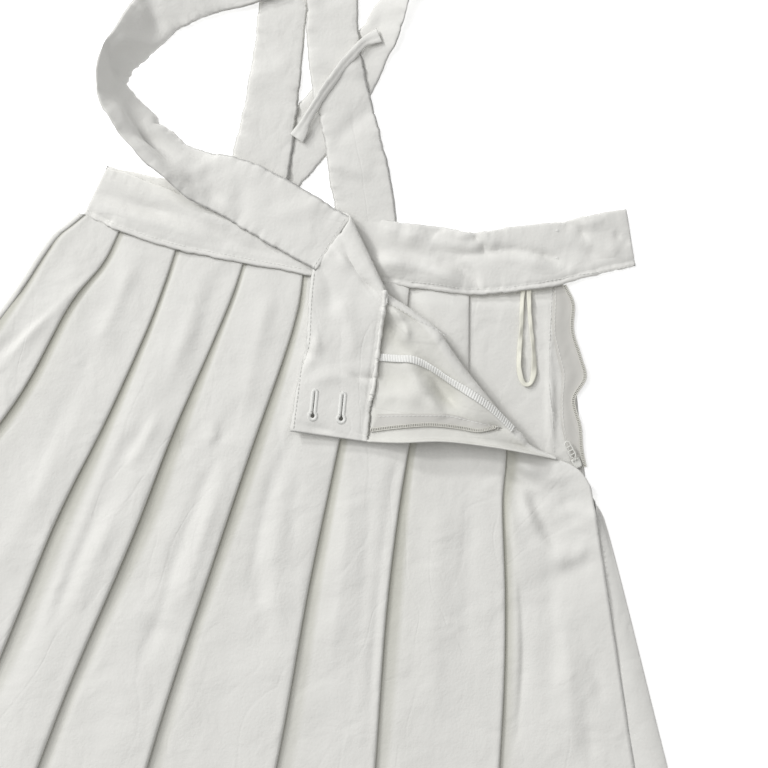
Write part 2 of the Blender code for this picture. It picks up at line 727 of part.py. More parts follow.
def back_band_rows(first_row):
    """Stations of the back band: its seam edge follows the top of the back's layers."""
    rows = smooth(BACK_BAND, 2 * len(BACK_BAND) - 1)
    start, end = first_row[:-1], first_row[1:]
    start, end = (np.where(start[:, :1] < end[:, :1], start, end),
                  np.where(start[:, :1] < end[:, :1], end, start))
    for row in rows:
        over = (start[:, 0] <= row[0]) & (row[0] < end[:, 0])
        if over.any():
            share = (row[0] - start[over, 0]) / (end[over, 0] - start[over, 0])
            row[1] = np.max(start[over, 1] + (end[over, 1] - start[over, 1]) * share)
    return rows


def band_sheet(table, across=3):
    """A waistband from its seam edge to its upper edge."""
    rows = np.asarray(table, float)
    points = []
    for row in rows:
        seam, upper = row[:3], row[3:]
        step = (upper - seam) / np.linalg.norm(upper - seam)
        seam = seam + step * SEAM
        points += [seam + (upper - seam) * part / (across - 1.0) for part in range(across)]
    return np.array(points), grid_faces(len(rows), across)


def strip_sheet(table, stations, first_side=None, last_side=None):
    """A flat strip along a path, turned about the path by its tilt.

    Near an end that is sewn on, the strip's cross direction turns to the seam.
    """
    rows = by_length(smooth(table, 8 * stations), stations)
    path = rows[:, :3]
    tangent = np.gradient(path, axis=0)
    tangent /= np.linalg.norm(tangent, axis=1)[:, None]
    plan = tangent[:, :2].copy()
    # Where the strip turns over at its top the side direction is kept.
    side = np.column_stack((-plan[:, 1], plan[:, 0], np.zeros(len(path))))
    side /= np.maximum(np.linalg.norm(side, axis=1), 1e-9)[:, None]
    for index in range(1, len(side)):
        if side[index] @ side[index - 1] < 0.0:
            side[index] = -side[index]
    reach = np.concatenate(([0.0], np.cumsum(np.linalg.norm(np.diff(path, axis=0), axis=1))))
    for end, distance in ((first_side, reach), (last_side, reach[-1] - reach)):
        if end is not None:
            near = ease(1.0 - distance / END_TURN)[:, None]
            side = side * (1.0 - near) + np.array((*end, 0.0)) * near
            side /= np.linalg.norm(side, axis=1)[:, None]
    tilt = np.radians(rows[:, 4])[:, None]
    up = np.cross(tangent, side)
    up *= np.where(up[:, 2:] < 0.0, -1.0, 1.0)
    side = side * np.cos(tilt) + up * np.sin(tilt)
    half = 0.5 * rows[:, 3:4]
    points = np.stack((path - side * half, path, path + side * half), axis=1)
    return points.reshape(-1, 3), grid_faces(len(rows), 3)


def moved_out(grid, distance):
    """A grid of points moved along its normals, upwards."""
    down = np.gradient(grid, axis=0)
    across = np.gradient(grid, axis=1)
    normal = np.cross(down, across)
    normal /= np.linalg.norm(normal, axis=2)[..., None]
    normal *= np.where(normal[..., 2:] < 0.0, -1.0, 1.0)
    return grid + normal * distance


def tape_front_sheet(rows):
    """Front half of the zip: the last columns of the turned cloth, moved out."""
    lift = 0.5 * WALL + SEAM + 0.5 * TAPE_WALL
    flap = moved_out(np.array(rows[ROLL_STEPS - 1:]), lift + 0.1)[2:, -TAPE_COLUMNS:]
    return flap.reshape(-1, 3), grid_faces(len(flap), TAPE_COLUMNS)


def tape_back_sheet():
    """Back half of the zip, with its wavy outer edge a little above the back."""
    rows = smooth(ZIP_BACK, 2 * len(ZIP_BACK) - 1)
    base = WALL + SEAM + 0.5 * TAPE_WALL
    inner = np.column_stack((rows[:, 0], rows[:, 1], np.full(len(rows), base)))
    outer = np.column_stack((rows[:, 2], rows[:, 3], base + rows[:, 4]))
    points = np.stack((inner, 0.5 * (inner + outer), outer), axis=1)
    return points.reshape(-1, 3), grid_faces(len(rows), 3)


def solid_object(name, build, look, parts, at, turn=0.0):
    """An object from a bmesh that is made about its own origin, in millimetres."""
    body = bmesh.new()
    build(body)
    bmesh.ops.scale(body, vec=(MM, MM, MM), verts=body.verts)
    bmesh.ops.recalc_face_normals(body, faces=body.faces)
    mesh = bpy.data.meshes.new(name)
    body.to_mesh(mesh)
    body.free()
    mesh.materials.append(look)
    new = bpy.data.objects.new(name, mesh)
    new.location = ((at[0] - ORIGIN_X) * MM, (at[1] - ORIGIN_Y) * MM, at[2] * MM)
    new.rotation_euler = (0.0, 0.0, turn)
    parts.objects.link(new)
    return new


def box(body, size, centre):
    """A box of a size about a centre."""
    made = bmesh.ops.create_cube(body, size=1.0)["verts"]
    bmesh.ops.scale(body, vec=size, verts=made)
    bmesh.ops.translate(body, vec=centre, verts=made)


def bevel(target, width, segments=2):
    edge = target.modifiers.new("Edge", 'BEVEL')
    edge.width = width * MM
    edge.segments = segments
    edge.limit_method = 'ANGLE'


def combine(target, other, operation):
    """Cut a piece by another one, or join the two, exactly."""
    other.hide_render = True
    other.display_type = 'WIRE'
    boolean = target.modifiers.new(other.name, 'BOOLEAN')
    boolean.operation = operation
    boolean.solver = 'EXACT'
    boolean.object = other


def plate_outline(body, outline, low, high):
    """A plate with a closed outline between two heights."""
    bottom = [body.verts.new((x, y, low)) for x, y in outline]
    face = body.faces.new(bottom)
    made = bmesh.ops.extrude_face_region(body, geom=[face])
    top = [item for item in made["geom"] if isinstance(item, bmesh.types.BMVert)]
    bmesh.ops.translate(body, vec=(0.0, 0.0, high - low), verts=top)


def arc(centre, radius, first, last, steps):
    """Points on an arc, by angles in degrees."""
    angle = np.radians(np.linspace(first, last, steps))
    return [(centre[0] + radius * math.cos(a), centre[1] + radius * math.sin(a)) for a in angle]


def build_buttonholes(band, cutters, look):
    """Keyholes cut through the band: a slit that ends in a round eye."""
    for number, (slit_x, slit_y, eye_x, eye_y) in enumerate(BUTTONHOLES):
        length = math.hypot(slit_x - eye_x, slit_y - eye_y)
        half = 0.5 * SLIT_WIDTH
        open_angle = math.degrees(math.asin(half / EYE_RADIUS))
        outline = arc((0.0, 0.0), EYE_RADIUS, 90.0 + open_angle, 450.0 - open_angle, 12)
        outline += arc((0.0, length), half, 0.0, 180.0, 5)
        middle = FLAP_REST + 0.6

        def shape(body, outline=outline):
            plate_outline(body, outline, -3.0 * BAND_WALL, 3.0 * BAND_WALL)

        turn = math.atan2(slit_y - eye_y, slit_x - eye_x) - 0.5 * math.pi
        cutter = solid_object(f"buttonhole_{number + 1}", shape, look, cutters,
                              (eye_x, eye_y, middle), turn)
        combine(band, cutter, 'DIFFERENCE')


def build_slider(parts, cutters, look):
    """Slider on the zip's foot, with a lug on each side of the pull tab."""
    height = SLIDER_HEIGHT + LUG_HEIGHT
    lug_x = 0.5 * PULL_NECK + LUG_GAP + 0.5 * LUG_WIDTH

    def shape(body):
        box(body, (SLIDER_WIDTH, SLIDER_LENGTH, SLIDER_HEIGHT), (0.0, 0.0, 0.5 * SLIDER_HEIGHT))

    def lug_shape(body):
        box(body, (LUG_WIDTH, LUG_LENGTH, height), (0.0, PIN_AHEAD, 0.5 * height))

    slider = solid_object("zip_slider", shape, look, parts,
                          (*SLIDER_AT, SLIDER_BASE), SLIDER_TURN)
    bevel(slider, 0.5)
    across = np.array((math.cos(SLIDER_TURN), math.sin(SLIDER_TURN)))
    for number, side in enumerate((-1.0, 1.0)):
        place = np.array(SLIDER_AT) + across * side * lug_x
        lug = solid_object(f"slider_lug_{number + 1}", lug_shape, look, cutters,
                           (*place, SLIDER_BASE), SLIDER_TURN)
        combine(slider, lug, 'UNION')


def build_pull(parts, look):
    """Pull tab, with its origin on the axis of its pin."""
    neck = 0.5 * PULL_NECK
    half = 0.5 * PULL_WIDTH

    def shape(body):
        outline = [(-neck, -PULL_BEHIND), (neck, -PULL_BEHIND), (neck, 1.6), (half, 3.4)]
        outline += arc((0.0, PULL_LENGTH - half), half, 0.0, 180.0, 9)
        outline += [(-half, 3.4), (-neck, 1.6)]
        plate_outline(body, outline, -0.5 * PULL_WALL, 0.5 * PULL_WALL)

    along = (-math.sin(SLIDER_TURN), math.cos(SLIDER_TURN))
    pin = (SLIDER_AT[0] + along[0] * PIN_AHEAD, SLIDER_AT[1] + along[1] * PIN_AHEAD, PIN_HEIGHT)
    solid_object("zip_pull", shape, look, parts, pin, SLIDER_TURN)


def build_buttons(parts, look):
    """Two flat sewn buttons under the back band's tab."""
    for number, (x, y) in enumerate(BUTTONS):
        def shape(body):
            bmesh.ops.create_cone(body, cap_ends=True, segments=24, radius1=BUTTON_RADIUS,
                                  radius2=BUTTON_RADIUS, depth=BUTTON_HEIGHT)

        button = solid_object(("button_upper", "button_lower")[number], shape, look, parts,
                              (x, y, BUTTON_BASE + 0.5 * BUTTON_HEIGHT))
        bevel(button, 0.5)
        button.data.shade_smooth()
        button.data.set_sharp_from_angle(angle=math.radians(35.0))


def main():
    clear_scene()
    parts = bpy.data.collections.new("suspender_skirt")
    cutters = bpy.data.collections.new("cutters")
    bpy.context.scene.collection.children.link(parts)
    bpy.context.scene.collection.children.link(cutters)

    twill = material("white_twill", (0.86, 0.86, 0.84), 0.9)
    tape = material("zip_tape", (0.88, 0.88, 0.86), 0.85)
    satin = material("hanger_satin", (0.87, 0.84, 0.76), 0.35)
    metal = material("zip_lacquer", (0.80, 0.79, 0.75), 0.35, 0.6)
    shell = material("button_resin", (0.90, 0.90, 0.88), 0.3)

    points, faces, turned, corner = front_sheet()
    cloth_object("front_panel", points, faces, WALL, twill, parts)
    cloth_object("zip_tape_front", *tape_front_sheet(turned), TAPE_WALL, tape, parts)
    points, faces, back_top = back_sheet()
    cloth_object("back_panel", points, faces, WALL, twill, parts)
    band_rows = front_band_rows(turned, corner)
    band = cloth_object("front_waistband", *band_sheet(band_rows), BAND_WALL, twill, parts)
    build_buttonholes(band, cutters, twill)
    cloth_object("back_waistband", *band_sheet(back_band_rows(back_top)), BAND_WALL, twill, parts)
    cloth_object("strap_1", *strip_sheet(STRAP_ONE, STRAP_STATIONS, ONE_FIRST_SIDE, ONE_LAST_SIDE),
                 STRAP_WALL, twill, parts)
    cloth_object("strap_2", *strip_sheet(STRAP_TWO, STRAP_STATIONS, TWO_FIRST_SIDE, TWO_LAST_SIDE),
                 STRAP_WALL, twill, parts)
    cloth_object("keeper_loop", *strip_sheet(KEEPER, 18), KEEPER_WALL, twill, parts)
    cloth_object("hanger_loop", *strip_sheet(HANGER, 24), HANGER_WALL, satin, parts)
    cloth_object("zip_tape_back", *tape_back_sheet(), TAPE_WALL, tape, parts)
    build_slider(parts, cutters, metal)
    build_pull(parts, metal)
    build_buttons(parts, shell)


main()
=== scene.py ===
"""Looks of a suspender skirt that lies flat with its zip open, built around its solids.

Lengths in the tables are millimetres in the frame of the garment: x to the
right, y from the hem to the straps, z up from the surface. The front's waist
seam crosses x = 0 close to y = 0. Places given to spot and crease are pixels of
the photo.
"""

import math
from functools import lru_cache

import bpy
import numpy as np
from bpy.props import FloatProperty, FloatVectorProperty, PointerProperty
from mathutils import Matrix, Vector


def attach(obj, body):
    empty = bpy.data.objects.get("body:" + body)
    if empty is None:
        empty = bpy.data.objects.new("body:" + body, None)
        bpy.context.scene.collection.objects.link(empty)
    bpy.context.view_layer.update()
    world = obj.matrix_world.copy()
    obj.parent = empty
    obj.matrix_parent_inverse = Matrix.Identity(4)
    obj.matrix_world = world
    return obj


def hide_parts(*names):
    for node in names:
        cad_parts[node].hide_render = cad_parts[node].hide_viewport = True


bl_info = {
    "name": "Suspender Skirt",
    "version": (1, 0, 0),
    "blender": (4, 5, 0),
    "location": "View3D > Sidebar > Suspender Skirt",
    "description": "Cloth, seams, zip and buttons of a pleated skirt with straps",
    "category": "Add Mesh",
}

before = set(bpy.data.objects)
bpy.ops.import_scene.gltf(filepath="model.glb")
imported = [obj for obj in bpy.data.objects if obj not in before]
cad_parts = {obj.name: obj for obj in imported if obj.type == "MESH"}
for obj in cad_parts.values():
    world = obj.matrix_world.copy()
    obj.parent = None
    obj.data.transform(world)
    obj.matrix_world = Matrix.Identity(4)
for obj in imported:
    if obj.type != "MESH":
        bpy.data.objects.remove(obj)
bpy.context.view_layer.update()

MM = 0.001
ORIGIN = np.array((14.5, -52.3, 0.0))    # middle of the laid garment, in its own frame
BODY = "garment"

# Photo: scale, turn against the garment's frame, and the pixel of the frame's x = 0, y = 0
PHOTO_PIXEL = 0.72
PHOTO_TURN = 12.0
PHOTO_ZERO = (312.0, 271.0)


def in_garment(pixel):
    """Place of a pixel of the photo, in the garment's millimetres."""
    turn = math.radians(PHOTO_TURN)
    x = (pixel[0] - PHOTO_ZERO[0]) * PHOTO_PIXEL
    y = (PHOTO_ZERO[1] - pixel[1]) * PHOTO_PIXEL
    return x * math.cos(turn) - y * math.sin(turn), x * math.sin(turn) + y * math.cos(turn)


def spot(across, down):
    """Place of a pixel, to a tenth of a millimetre."""
    x, y = in_garment((across, down))
    return round(x, 1), round(y, 1)


def crease(first, through, last, width, height):
    """Crease from one pixel through a second to a third, which gives its bow."""
    (x, y), (x_through, y_through), (x_last, y_last) = map(in_garment, (first, through, last))
    length = math.hypot(x_last - x, y_last - y)
    dx, dy = (x_last - x) / length, (y_last - y) / length
    share = ((x_through - x) * dx + (y_through - y) * dy) / length
    off = (y_through - y) * dx - (x_through - x) * dy
    bow = off / (4.0 * length * share * (1.0 - share))
    return *spot(*first), *spot(*last), round(bow, 2), width, height


# Skirt: its lengths are those of the solids, and its layers are thinner
SKIRT_LENGTH = 545.0
FAN_X = 22.4
FAN_Y = 434.0
FOLD_NOSE = 0.7
LAYER = 1.0
LOW = 0.5
MIDDLE = LOW + LAYER
TOP = MIDDLE + LAYER
FRONT_BASE = 4.3
PUFF = 2.1
LEFT_WAIST = -166.0
RIGHT_WAIST = 176.0
LEFT_SEAM_HEM = -388.0
RIGHT_SEAM_HEM = 379.0
SEAM_INSET = 5.0
SEAM_RISE = 4.4                          # the right side seam stands this much above its layers
SIDE_SEAM = -0.5
SEAM_LAYER = FRONT_BASE + LOW + 1.3
SIDE_TURNS = np.radians(np.linspace(90.0, -90.0, 9))
FRONT_KNEE = 0.075
CLOSING = 20.0
ZIP_ALLOWANCE = 3.0
EDGE_REST = 1.6
OPEN_STEP = 1.6
START_SHIFT = 3.4
FIRST_TURNED = 5
SEAM_SLANT = 6.0
FLAP_REST = 9.3
ZIP_FOOT = (228.0, -110.5)
STRIP_WAIST = 2.4                        # low strip beside a pressed edge, at the waist
STRIP_HEM = 9.0

WAIST = (
    # x, y
    (-168.4, 6.2),
    (-138.9, -0.8),
    (-99.8, -5.0),
    (-49.8, -4.7),
    (-6.0, -3.4),
    (30.0, -4.4),
    (46.9, -7.5),
)
FRONT_PLEATS = (
    # x at the waist, x at the hem, depth at the waist, depth at the hem, opened over
    (-140.8, -331.0, 19.0, 14.0, 0.0),
    (-98.5, -206.0, 30.0, 16.0, 0.0),
    (-49.3, -145.0, 34.0, 16.0, 0.0),
    (-5.5, -58.0, 32.0, 16.0, 0.0),
    (42.0, 51.0, 34.0, 16.0, 0.0),
    (84.5, 141.0, 22.0, 18.0, 0.20),
    (161.0, 245.0, 24.0, 18.0, 0.16),
)
# How far each pressed edge wanders sideways from its straight line
EDGE_WANDER = (
    # 0.05, 0.12, 0.25, 0.4, 0.6, 0.8 of the length
    (2.6, -1.6, 3.2, -1.2, 2.0, -1.0),
    (2.4, 4.0, 3.0, -1.0, 1.6, -0.8),
    (1.6, 1.2, -0.6, 0.8, -1.2, 0.8),
    (4.0, 4.6, 2.2, 0.6, -1.0, 0.8),
    (1.0, 1.6, 0.4, -0.8, 1.0, 0.4),
    (2.0, 2.0, -2.4, -4.0, -1.0, 1.0),
    (0.0, -2.0, 1.0, 1.6, -1.0, 0.0),
)
WANDER_AT = (0.0, 0.05, 0.12, 0.25, 0.4, 0.6, 0.8, 1.0)
FOLD = (
    # x, y, radius
    (54.6, -3.9, 6.0),
    (89.7, -17.0, 7.0),
    (121.0, -43.5, 8.0),
    (151.0, -67.0, 8.0),
    (178.0, -87.0, 4.8),
    (200.0, -92.5, 3.6),
)
FLAP_WAIST = (
    # x, y
    (55.4, -13.6),
    (57.5, -34.9),
    (60.4, -71.0),
    (63.9, -111.6),
)
FLAP_ZIP = (
    # x, y
    (63.9, -111.6),
    (87.6, -107.3),
    (118.0, -100.0),
    (150.0, -97.0),
    (180.0, -96.0),
    (199.4, -96.2),
)
FRONT_BAND = (
    # seam x, seam y, seam z, upper x, upper y, upper z
    (-168.0, 7.0, 4.3, -159.8, 41.0, 3.7),
    (-153.0, 2.9, 5.6, -146.4, 41.4, 3.8),
    (-138.9, -0.1, 6.2, -127.3, 38.4, 3.9),
    (-99.8, -4.3, 6.3, -96.7, 34.4, 3.9),
    (-49.8, -4.0, 6.3, -52.0, 34.0, 3.9),
    (-6.0, -2.7, 6.3, -18.0, 35.0, 3.9),
    (36.0, -4.6, 6.0, 4.0, 43.8, 4.0),
)
BAND_ROLL = (
    # x, y, z
    (8.6, 45.0, 4.6),
    (12.4, 45.8, 5.6),
    (15.6, 45.6, 7.4),
    (17.8, 44.2, 9.8),
    (18.6, 41.6, 12.0),
    (17.8, 37.8, 13.6),
    (16.4, 34.0, 14.0),
    (15.4, 31.6, 13.8),
    (14.2, 29.0, 13.2),
    (12.8, 26.2, 12.6),
    (11.4, 23.4, 12.0),
    (10.0, 20.8, 11.6),
)
ROLL_SEAM = (-0.45, 0.55, 0.7)
TURNED_BAND = (
    # seam x, seam y, seam z, upper x, upper y, upper z
    (56.3, -26.5, 12.0, 8.0, 16.6, 11.2),
    (57.0, -36.0, 10.4, 4.6, 10.0, 10.6),
    (58.6, -53.0, 9.9, 0.6, 0.2, 10.2),
    (60.0, -71.0, 9.9, 2.4, -21.6, 9.9),
    (60.6, -84.0, 9.9, 6.4, -45.0, 9.9),
    (61.6, -94.0, 9.9, 7.4, -66.0, 9.9),
    (62.6, -103.0, 9.9, 7.2, -90.0, 9.9),
    (63.6, -111.6, 9.9, 9.0, -115.9, 9.9),
)
BACK_BAND = (
    # seam x, seam y, seam z, upper x, upper y, upper z
    (-168.0, 6.6, 1.1, -159.8, 43.0, 1.1),
    (-100.0, 1.0, 1.1, -96.0, 43.0, 1.1),
    (0.0, 1.4, 1.1, 0.0, 45.0, 1.1),
    (53.0, 3.6, 1.2, 53.2, 47.4, 1.4),
    (82.0, 5.6, 1.6, 83.0, 50.2, 2.6),
    (113.0, 8.0, 2.4, 109.0, 51.2, 4.0),
    (135.7, 13.6, 3.4, 129.5, 59.2, 4.6),
    (155.0, 20.8, 4.0, 153.5, 67.2, 4.6),
    (176.5, 29.6, 4.1, 171.0, 72.8, 4.5),
    (203.6, 42.4, 3.2, 187.7, 81.0, 5.0),
    (226.3, 53.0, 1.6, 211.8, 90.6, 3.2),
)
BACK_WAIST = (
    # x, y
    (-168.4, 5.8),
    (-100.0, 0.2),
    (0.0, 0.6),
    (53.0, 2.8),
    (82.0, 4.8),
    (113.0, 7.2),
    (146.4, 16.8),
    (178.0, 28.6),
    (240.0, 56.0),
)
BACK_PLEATS = 6
BACK_FIRST_PLEAT = -101.7
BACK_PLEAT_STEP = 43.1
BACK_LAST = 84.5
BACK_LAST_HEIGHT = 4.9
BACK_DEPTH_WAIST = 30.0
BACK_DEPTH_HEM = 16.0
BACK_RAMP = 9.0
SIDE_LEFT = (
    # y, x
    (8.0, -171.0),
    (-4.6, -180.8),
    (-13.6, -188.0),
    (-29.8, -195.4),
    (-57.9, -206.3),
    (-100.0, -225.0),
    (-200.0, -266.5),
    (-340.0, -324.9),
    (-502.4, -392.5),
)
SIDE_RIGHT = (
    # y, x
    (30.7, 182.0),
    (-35.0, 204.0),
    (-107.4, 227.5),
    (-126.4, 240.5),
    (-171.4, 263.9),
    (-296.7, 325.1),
    (-489.0, 420.0),
)
STRAP_ONE = (
    # x, y, z, width, tilt
    (-52.0, 37.0, 4.3, 43.0, 0.0),
    (-52.0, 70.0, 3.6, 42.5, 0.0),
    (-53.0, 105.0, 3.2, 38.6, 0.0),
    (-54.4, 125.0, 3.1, 37.6, 0.0),
    (-56.4, 150.0, 1.4, 35.6, 0.0),
    (-60.3, 187.0, 1.1, 35.0, 0.0),
    (-66.0, 260.0, 1.1, 34.5, 0.0),
    (-73.0, 350.0, 1.1, 34.0, 0.0),
    (-78.0, 430.0, 1.1, 34.0, 0.0),
    (-78.8, 441.0, 1.2, 34.0, 0.0),
    (-79.0, 443.4, 2.4, 34.0, 0.0),
    (-78.6, 441.0, 3.6, 34.0, 0.0),
    (-76.0, 430.0, 3.7, 34.0, 0.0),
    (-58.0, 350.0, 3.4, 34.0, 0.0),
    (-39.0, 260.0, 3.6, 34.5, 0.0),
    (-26.0, 194.1, 3.8, 36.6, 0.0),
    (-19.6, 165.8, 3.7, 38.0, 0.0),
    (-8.4, 134.6, 3.7, 39.6, 0.0),
    (3.4, 110.6, 3.5, 39.6, 0.0),
    (12.2, 91.0, 3.0, 41.4, 0.0),
    (20.6, 70.6, 2.0, 44.6, 0.0),
    (32.0, 42.0, 1.1, 45.0, 0.0),
)
STRAP_TWO = (
    # x, y, z, width, tilt
    (11.4, 21.3, 10.1, 45.0, 0.0),
    (-31.1, 35.4, 9.0, 47.0, 0.0),
    (-64.8, 45.6, 8.3, 44.0, 0.0),
    (-90.0, 49.0, 8.2, 39.0, 14.0),
    (-108.4, 54.8, 11.0, 37.5, 36.0),
    (-124.2, 62.2, 12.4, 38.5, 39.0),
    (-135.6, 69.8, 14.0, 38.0, 43.0),
    (-148.8, 79.4, 15.4, 38.0, 48.0),
    (-160.0, 89.0, 16.2, 37.5, 54.0),
    (-165.6, 98.8, 16.8, 36.0, 60.0),
    (-167.2, 109.0, 16.6, 36.0, 59.0),
    (-164.6, 119.4, 15.6, 36.0, 53.0),
    (-159.2, 131.6, 13.6, 36.0, 44.0),
    (-151.8, 146.8, 10.6, 37.0, 30.0),
    (-141.4, 163.6, 7.6, 38.0, 14.0),
    (-116.6, 181.6, 6.8, 38.0, 6.0),
    (-85.0, 197.4, 5.8, 37.5, 0.0),
    (-55.8, 222.8, 5.7, 37.0, 0.0),
    (-32.1, 252.0, 5.9, 36.0, 2.0),
    (-14.0, 290.0, 8.4, 36.0, 12.0),
    (2.0, 330.0, 12.0, 36.0, 32.0),
    (22.0, 356.0, 16.2, 36.0, 56.0),
    (45.0, 359.0, 17.8, 36.0, 68.0),
    (60.0, 338.0, 17.4, 36.0, 64.0),
    (57.0, 305.0, 16.6, 36.0, 60.0),
    (43.0, 268.0, 16.0, 34.0, 56.0),
    (29.0, 235.0, 11.8, 25.0, 38.0),
    (20.4, 208.0, 8.8, 20.5, 28.0),
    (15.4, 190.0, 6.2, 25.5, 16.0),
    (12.2, 175.6, 4.2, 27.5, 9.0),
    (7.4, 164.0, 2.6, 30.0, 5.0),
    (-0.8, 140.5, 1.1, 35.5, 0.0),
    (-14.3, 112.5, 1.1, 38.0, 0.0),
    (-27.0, 86.0, 1.1, 38.0, 0.0),
    (-39.0, 61.0, 1.1, 38.0, 0.0),
    (-43.0, 44.8, 1.1, 38.0, 0.0),
)
END_TURN = 60.0
ONE_FIRST_SIDE = (-1.0, 0.0)
ONE_LAST_SIDE = (-0.999, -0.045)
TWO_FIRST_SIDE = (-0.365, -0.931)
TWO_LAST_SIDE = (1.0, 0.0)
KEEPER_PATH = (
    # x, y, z, width, tilt
    (-30.6, 90.6, 4.0, 10.8, 0.0),
    (-29.0, 94.6, 4.8, 10.8, 0.0),
    (-27.0, 100.0, 6.0, 8.6, 10.0),
    (-24.2, 109.4, 6.4, 7.2, 20.0),
    (-20.6, 120.0, 6.4, 7.0, 24.0),
    (-14.8, 134.4, 6.5, 7.6, 24.0),
    (-7.2, 151.0, 6.6, 7.4, 20.0),
    (0.6, 164.6, 6.6, 6.8, 16.0),
    (5.6, 170.2, 6.6, 8.0, 6.0),
    (12.4, 174.9, 6.9, 11.0, 0.0),
)
HANGER_STRANDS = (
    # x, y, z, width, tilt
    (151.0, 22.0, 2.2, 3.6, 0.0),
    (152.6, 8.0, 2.6, 3.2, 30.0),
    (155.6, -8.0, 2.8, 3.0, -24.0),
    (157.4, -22.0, 2.6, 3.4, 10.0),
    (159.2, -34.0, 2.8, 4.2, 40.0),
    (162.4, -43.0, 2.8, 3.8, 16.0),
    (166.4, -47.8, 2.8, 3.2, 0.0),
    (170.6, -46.0, 2.8, 3.2, -30.0),
    (171.0, -37.0, 2.8, 4.2, 10.0),
    (168.0, -24.0, 2.8, 4.0, 42.0),
    (163.4, -10.0, 2.8, 3.0, 10.0),
    (159.0, 4.0, 3.2, 3.0, -24.0),
    (154.6, 22.0, 3.2, 3.6, 0.0),
)
ZIP_BACK = (
    # inner x, inner y, outer x, outer y, lift
    (172.6, 26.0, 180.4, 27.6, 0.6),
    (174.6, 13.5, 189.0, 15.6, 1.6),
    (177.9, -5.6, 192.6, -3.2, 0.8),
    (184.4, -21.0, 202.0, -20.6, 1.8),
    (191.2, -35.7, 208.3, -34.5, 2.2),
    (194.0, -50.0, 203.8, -51.6, 0.8),
    (197.4, -67.5, 212.0, -69.0, 1.8),
    (203.6, -82.0, 216.6, -84.4, 1.2),
    (210.6, -96.0, 221.6, -96.6, 0.4),
)
SLIDER_AT = (214.6, -95.4)
SLIDER_TURN = math.radians(39.0)
SLIDER_BASE = 3.1
PIN_AHEAD = 2.6
PIN_HEIGHT = 6.15
LUG_OUT = 1.65                           # a lug's middle from the slider's
TAB_HALF = (
    # across, ahead of the pin: one half of the tab's frame
    (-0.6, -0.3),
    (-0.7, 1.6),
    (-2.0, 3.4),
    (-2.05, 7.0),
    (-2.05, 11.0),
    (-1.7, 13.2),
    (0.0, 14.4),
)
TAB_BARS = (
    # ahead of the pin, reach to each side
    (-0.3, 0.6),
    (4.4, 2.0),
    (7.4, 2.0),
    (10.4, 2.0),
)
BUTTONS = ((166.3, 64.6), (170.5, 45.4))
BUTTON_PROFILE = (
    # out from the middle, up
    (0.01, 0.0),
    (3.0, 0.0),
    (5.0, 0.1),
    (5.6, 0.5),
    (5.75, 1.1),
    (5.6, 1.7),
    (5.1, 2.15),
    (4.4, 2.1),
    (3.8, 1.7),
    (2.0, 1.6),
    (0.01, 1.6),
)
BUTTON_BASE = 0.3
SLIT_HALF = 0.45
EYE_RADIUS = 1.7
BUTTONHOLES = (
    # slit x, slit y, eye x, eye y
    (20.8, -84.5, 22.6, -101.5),
    (40.9, -82.4, 42.9, -99.4),
)

# Lines of the sewing, in plan
SERGED_PITCH = 1.9                       # from one overlock thread to the next
SERGED_HALF = 2.8                        # half of the overlocked edge's width
SERGED_LIFT = 1.2
SERGED_EVENED = 25                       # its height is a mean over this many stations
SERGED_EDGE = (
    # x, y
    (59.8, -50.9),
    (74.7, -49.0),
    (84.0, -47.6),
    (97.0, -49.6),
    (113.0, -56.0),
    (128.8, -62.4),
    (144.0, -69.4),
    (156.0, -76.6),
    (164.0, -82.0),
)
FACING_LINE = (
    # x, y
    (56.9, -11.5),
    (67.8, -14.3),
    (81.3, -18.8),
    (95.5, -23.1),
    (102.0, -26.0),
)
BEADED_EDGE = (
    # x, y
    spot(385, 292),
    spot(384, 310),
    spot(380, 335),
    spot(377, 360),
    spot(374, 385),
    spot(370, 402),
)
FLAP_TAPE = (
    # upper x, upper y, coil x, coil y
    (67.4, -90.8, 65.6, -103.4),
    (90.3, -85.7, 85.3, -96.7),
    (116.5, -80.5, 106.2, -90.8),
    (133.4, -80.6, 127.7, -88.4),
    (147.0, -81.0, 141.2, -87.6),
    (156.4, -81.7, 152.2, -83.6),
)
TURNED_EDGE_STITCH = (
    # x, y
    (2.4, -3.0),
    (4.4, -21.0),
    (8.0, -42.0),
    (9.8, -55.7),
    (7.8, -72.0),
    (9.0, -88.0),
    (10.8, -112.0),
)
STRAP_SEAM = (
    # x, y
    (1.2, 2.4),
    (15.4, 39.6),
)
FRONT_BAND_SEAM = (
    # x, y
    (-166.6, 9.0),
    (-153.0, 4.9),
    (-138.9, 1.9),
    (-99.8, -2.3),
    (-49.8, -2.0),
    (-6.0, -0.7),
)
BACK_BAND_SEAM = (
    # x, y
    (72.0, 7.6),
    (92.7, 9.8),
    (113.8, 10.6),
    (135.7, 16.0),
    (155.0, 23.2),
    (176.5, 32.0),
    (203.6, 42.2),
    (224.0, 51.6),
)
BACK_SIDE_STITCH = (
    # x, y
    spot(552, 290),
    spot(550, 330),
    spot(549, 380),
    spot(552, 420),
    spot(554, 451),
)

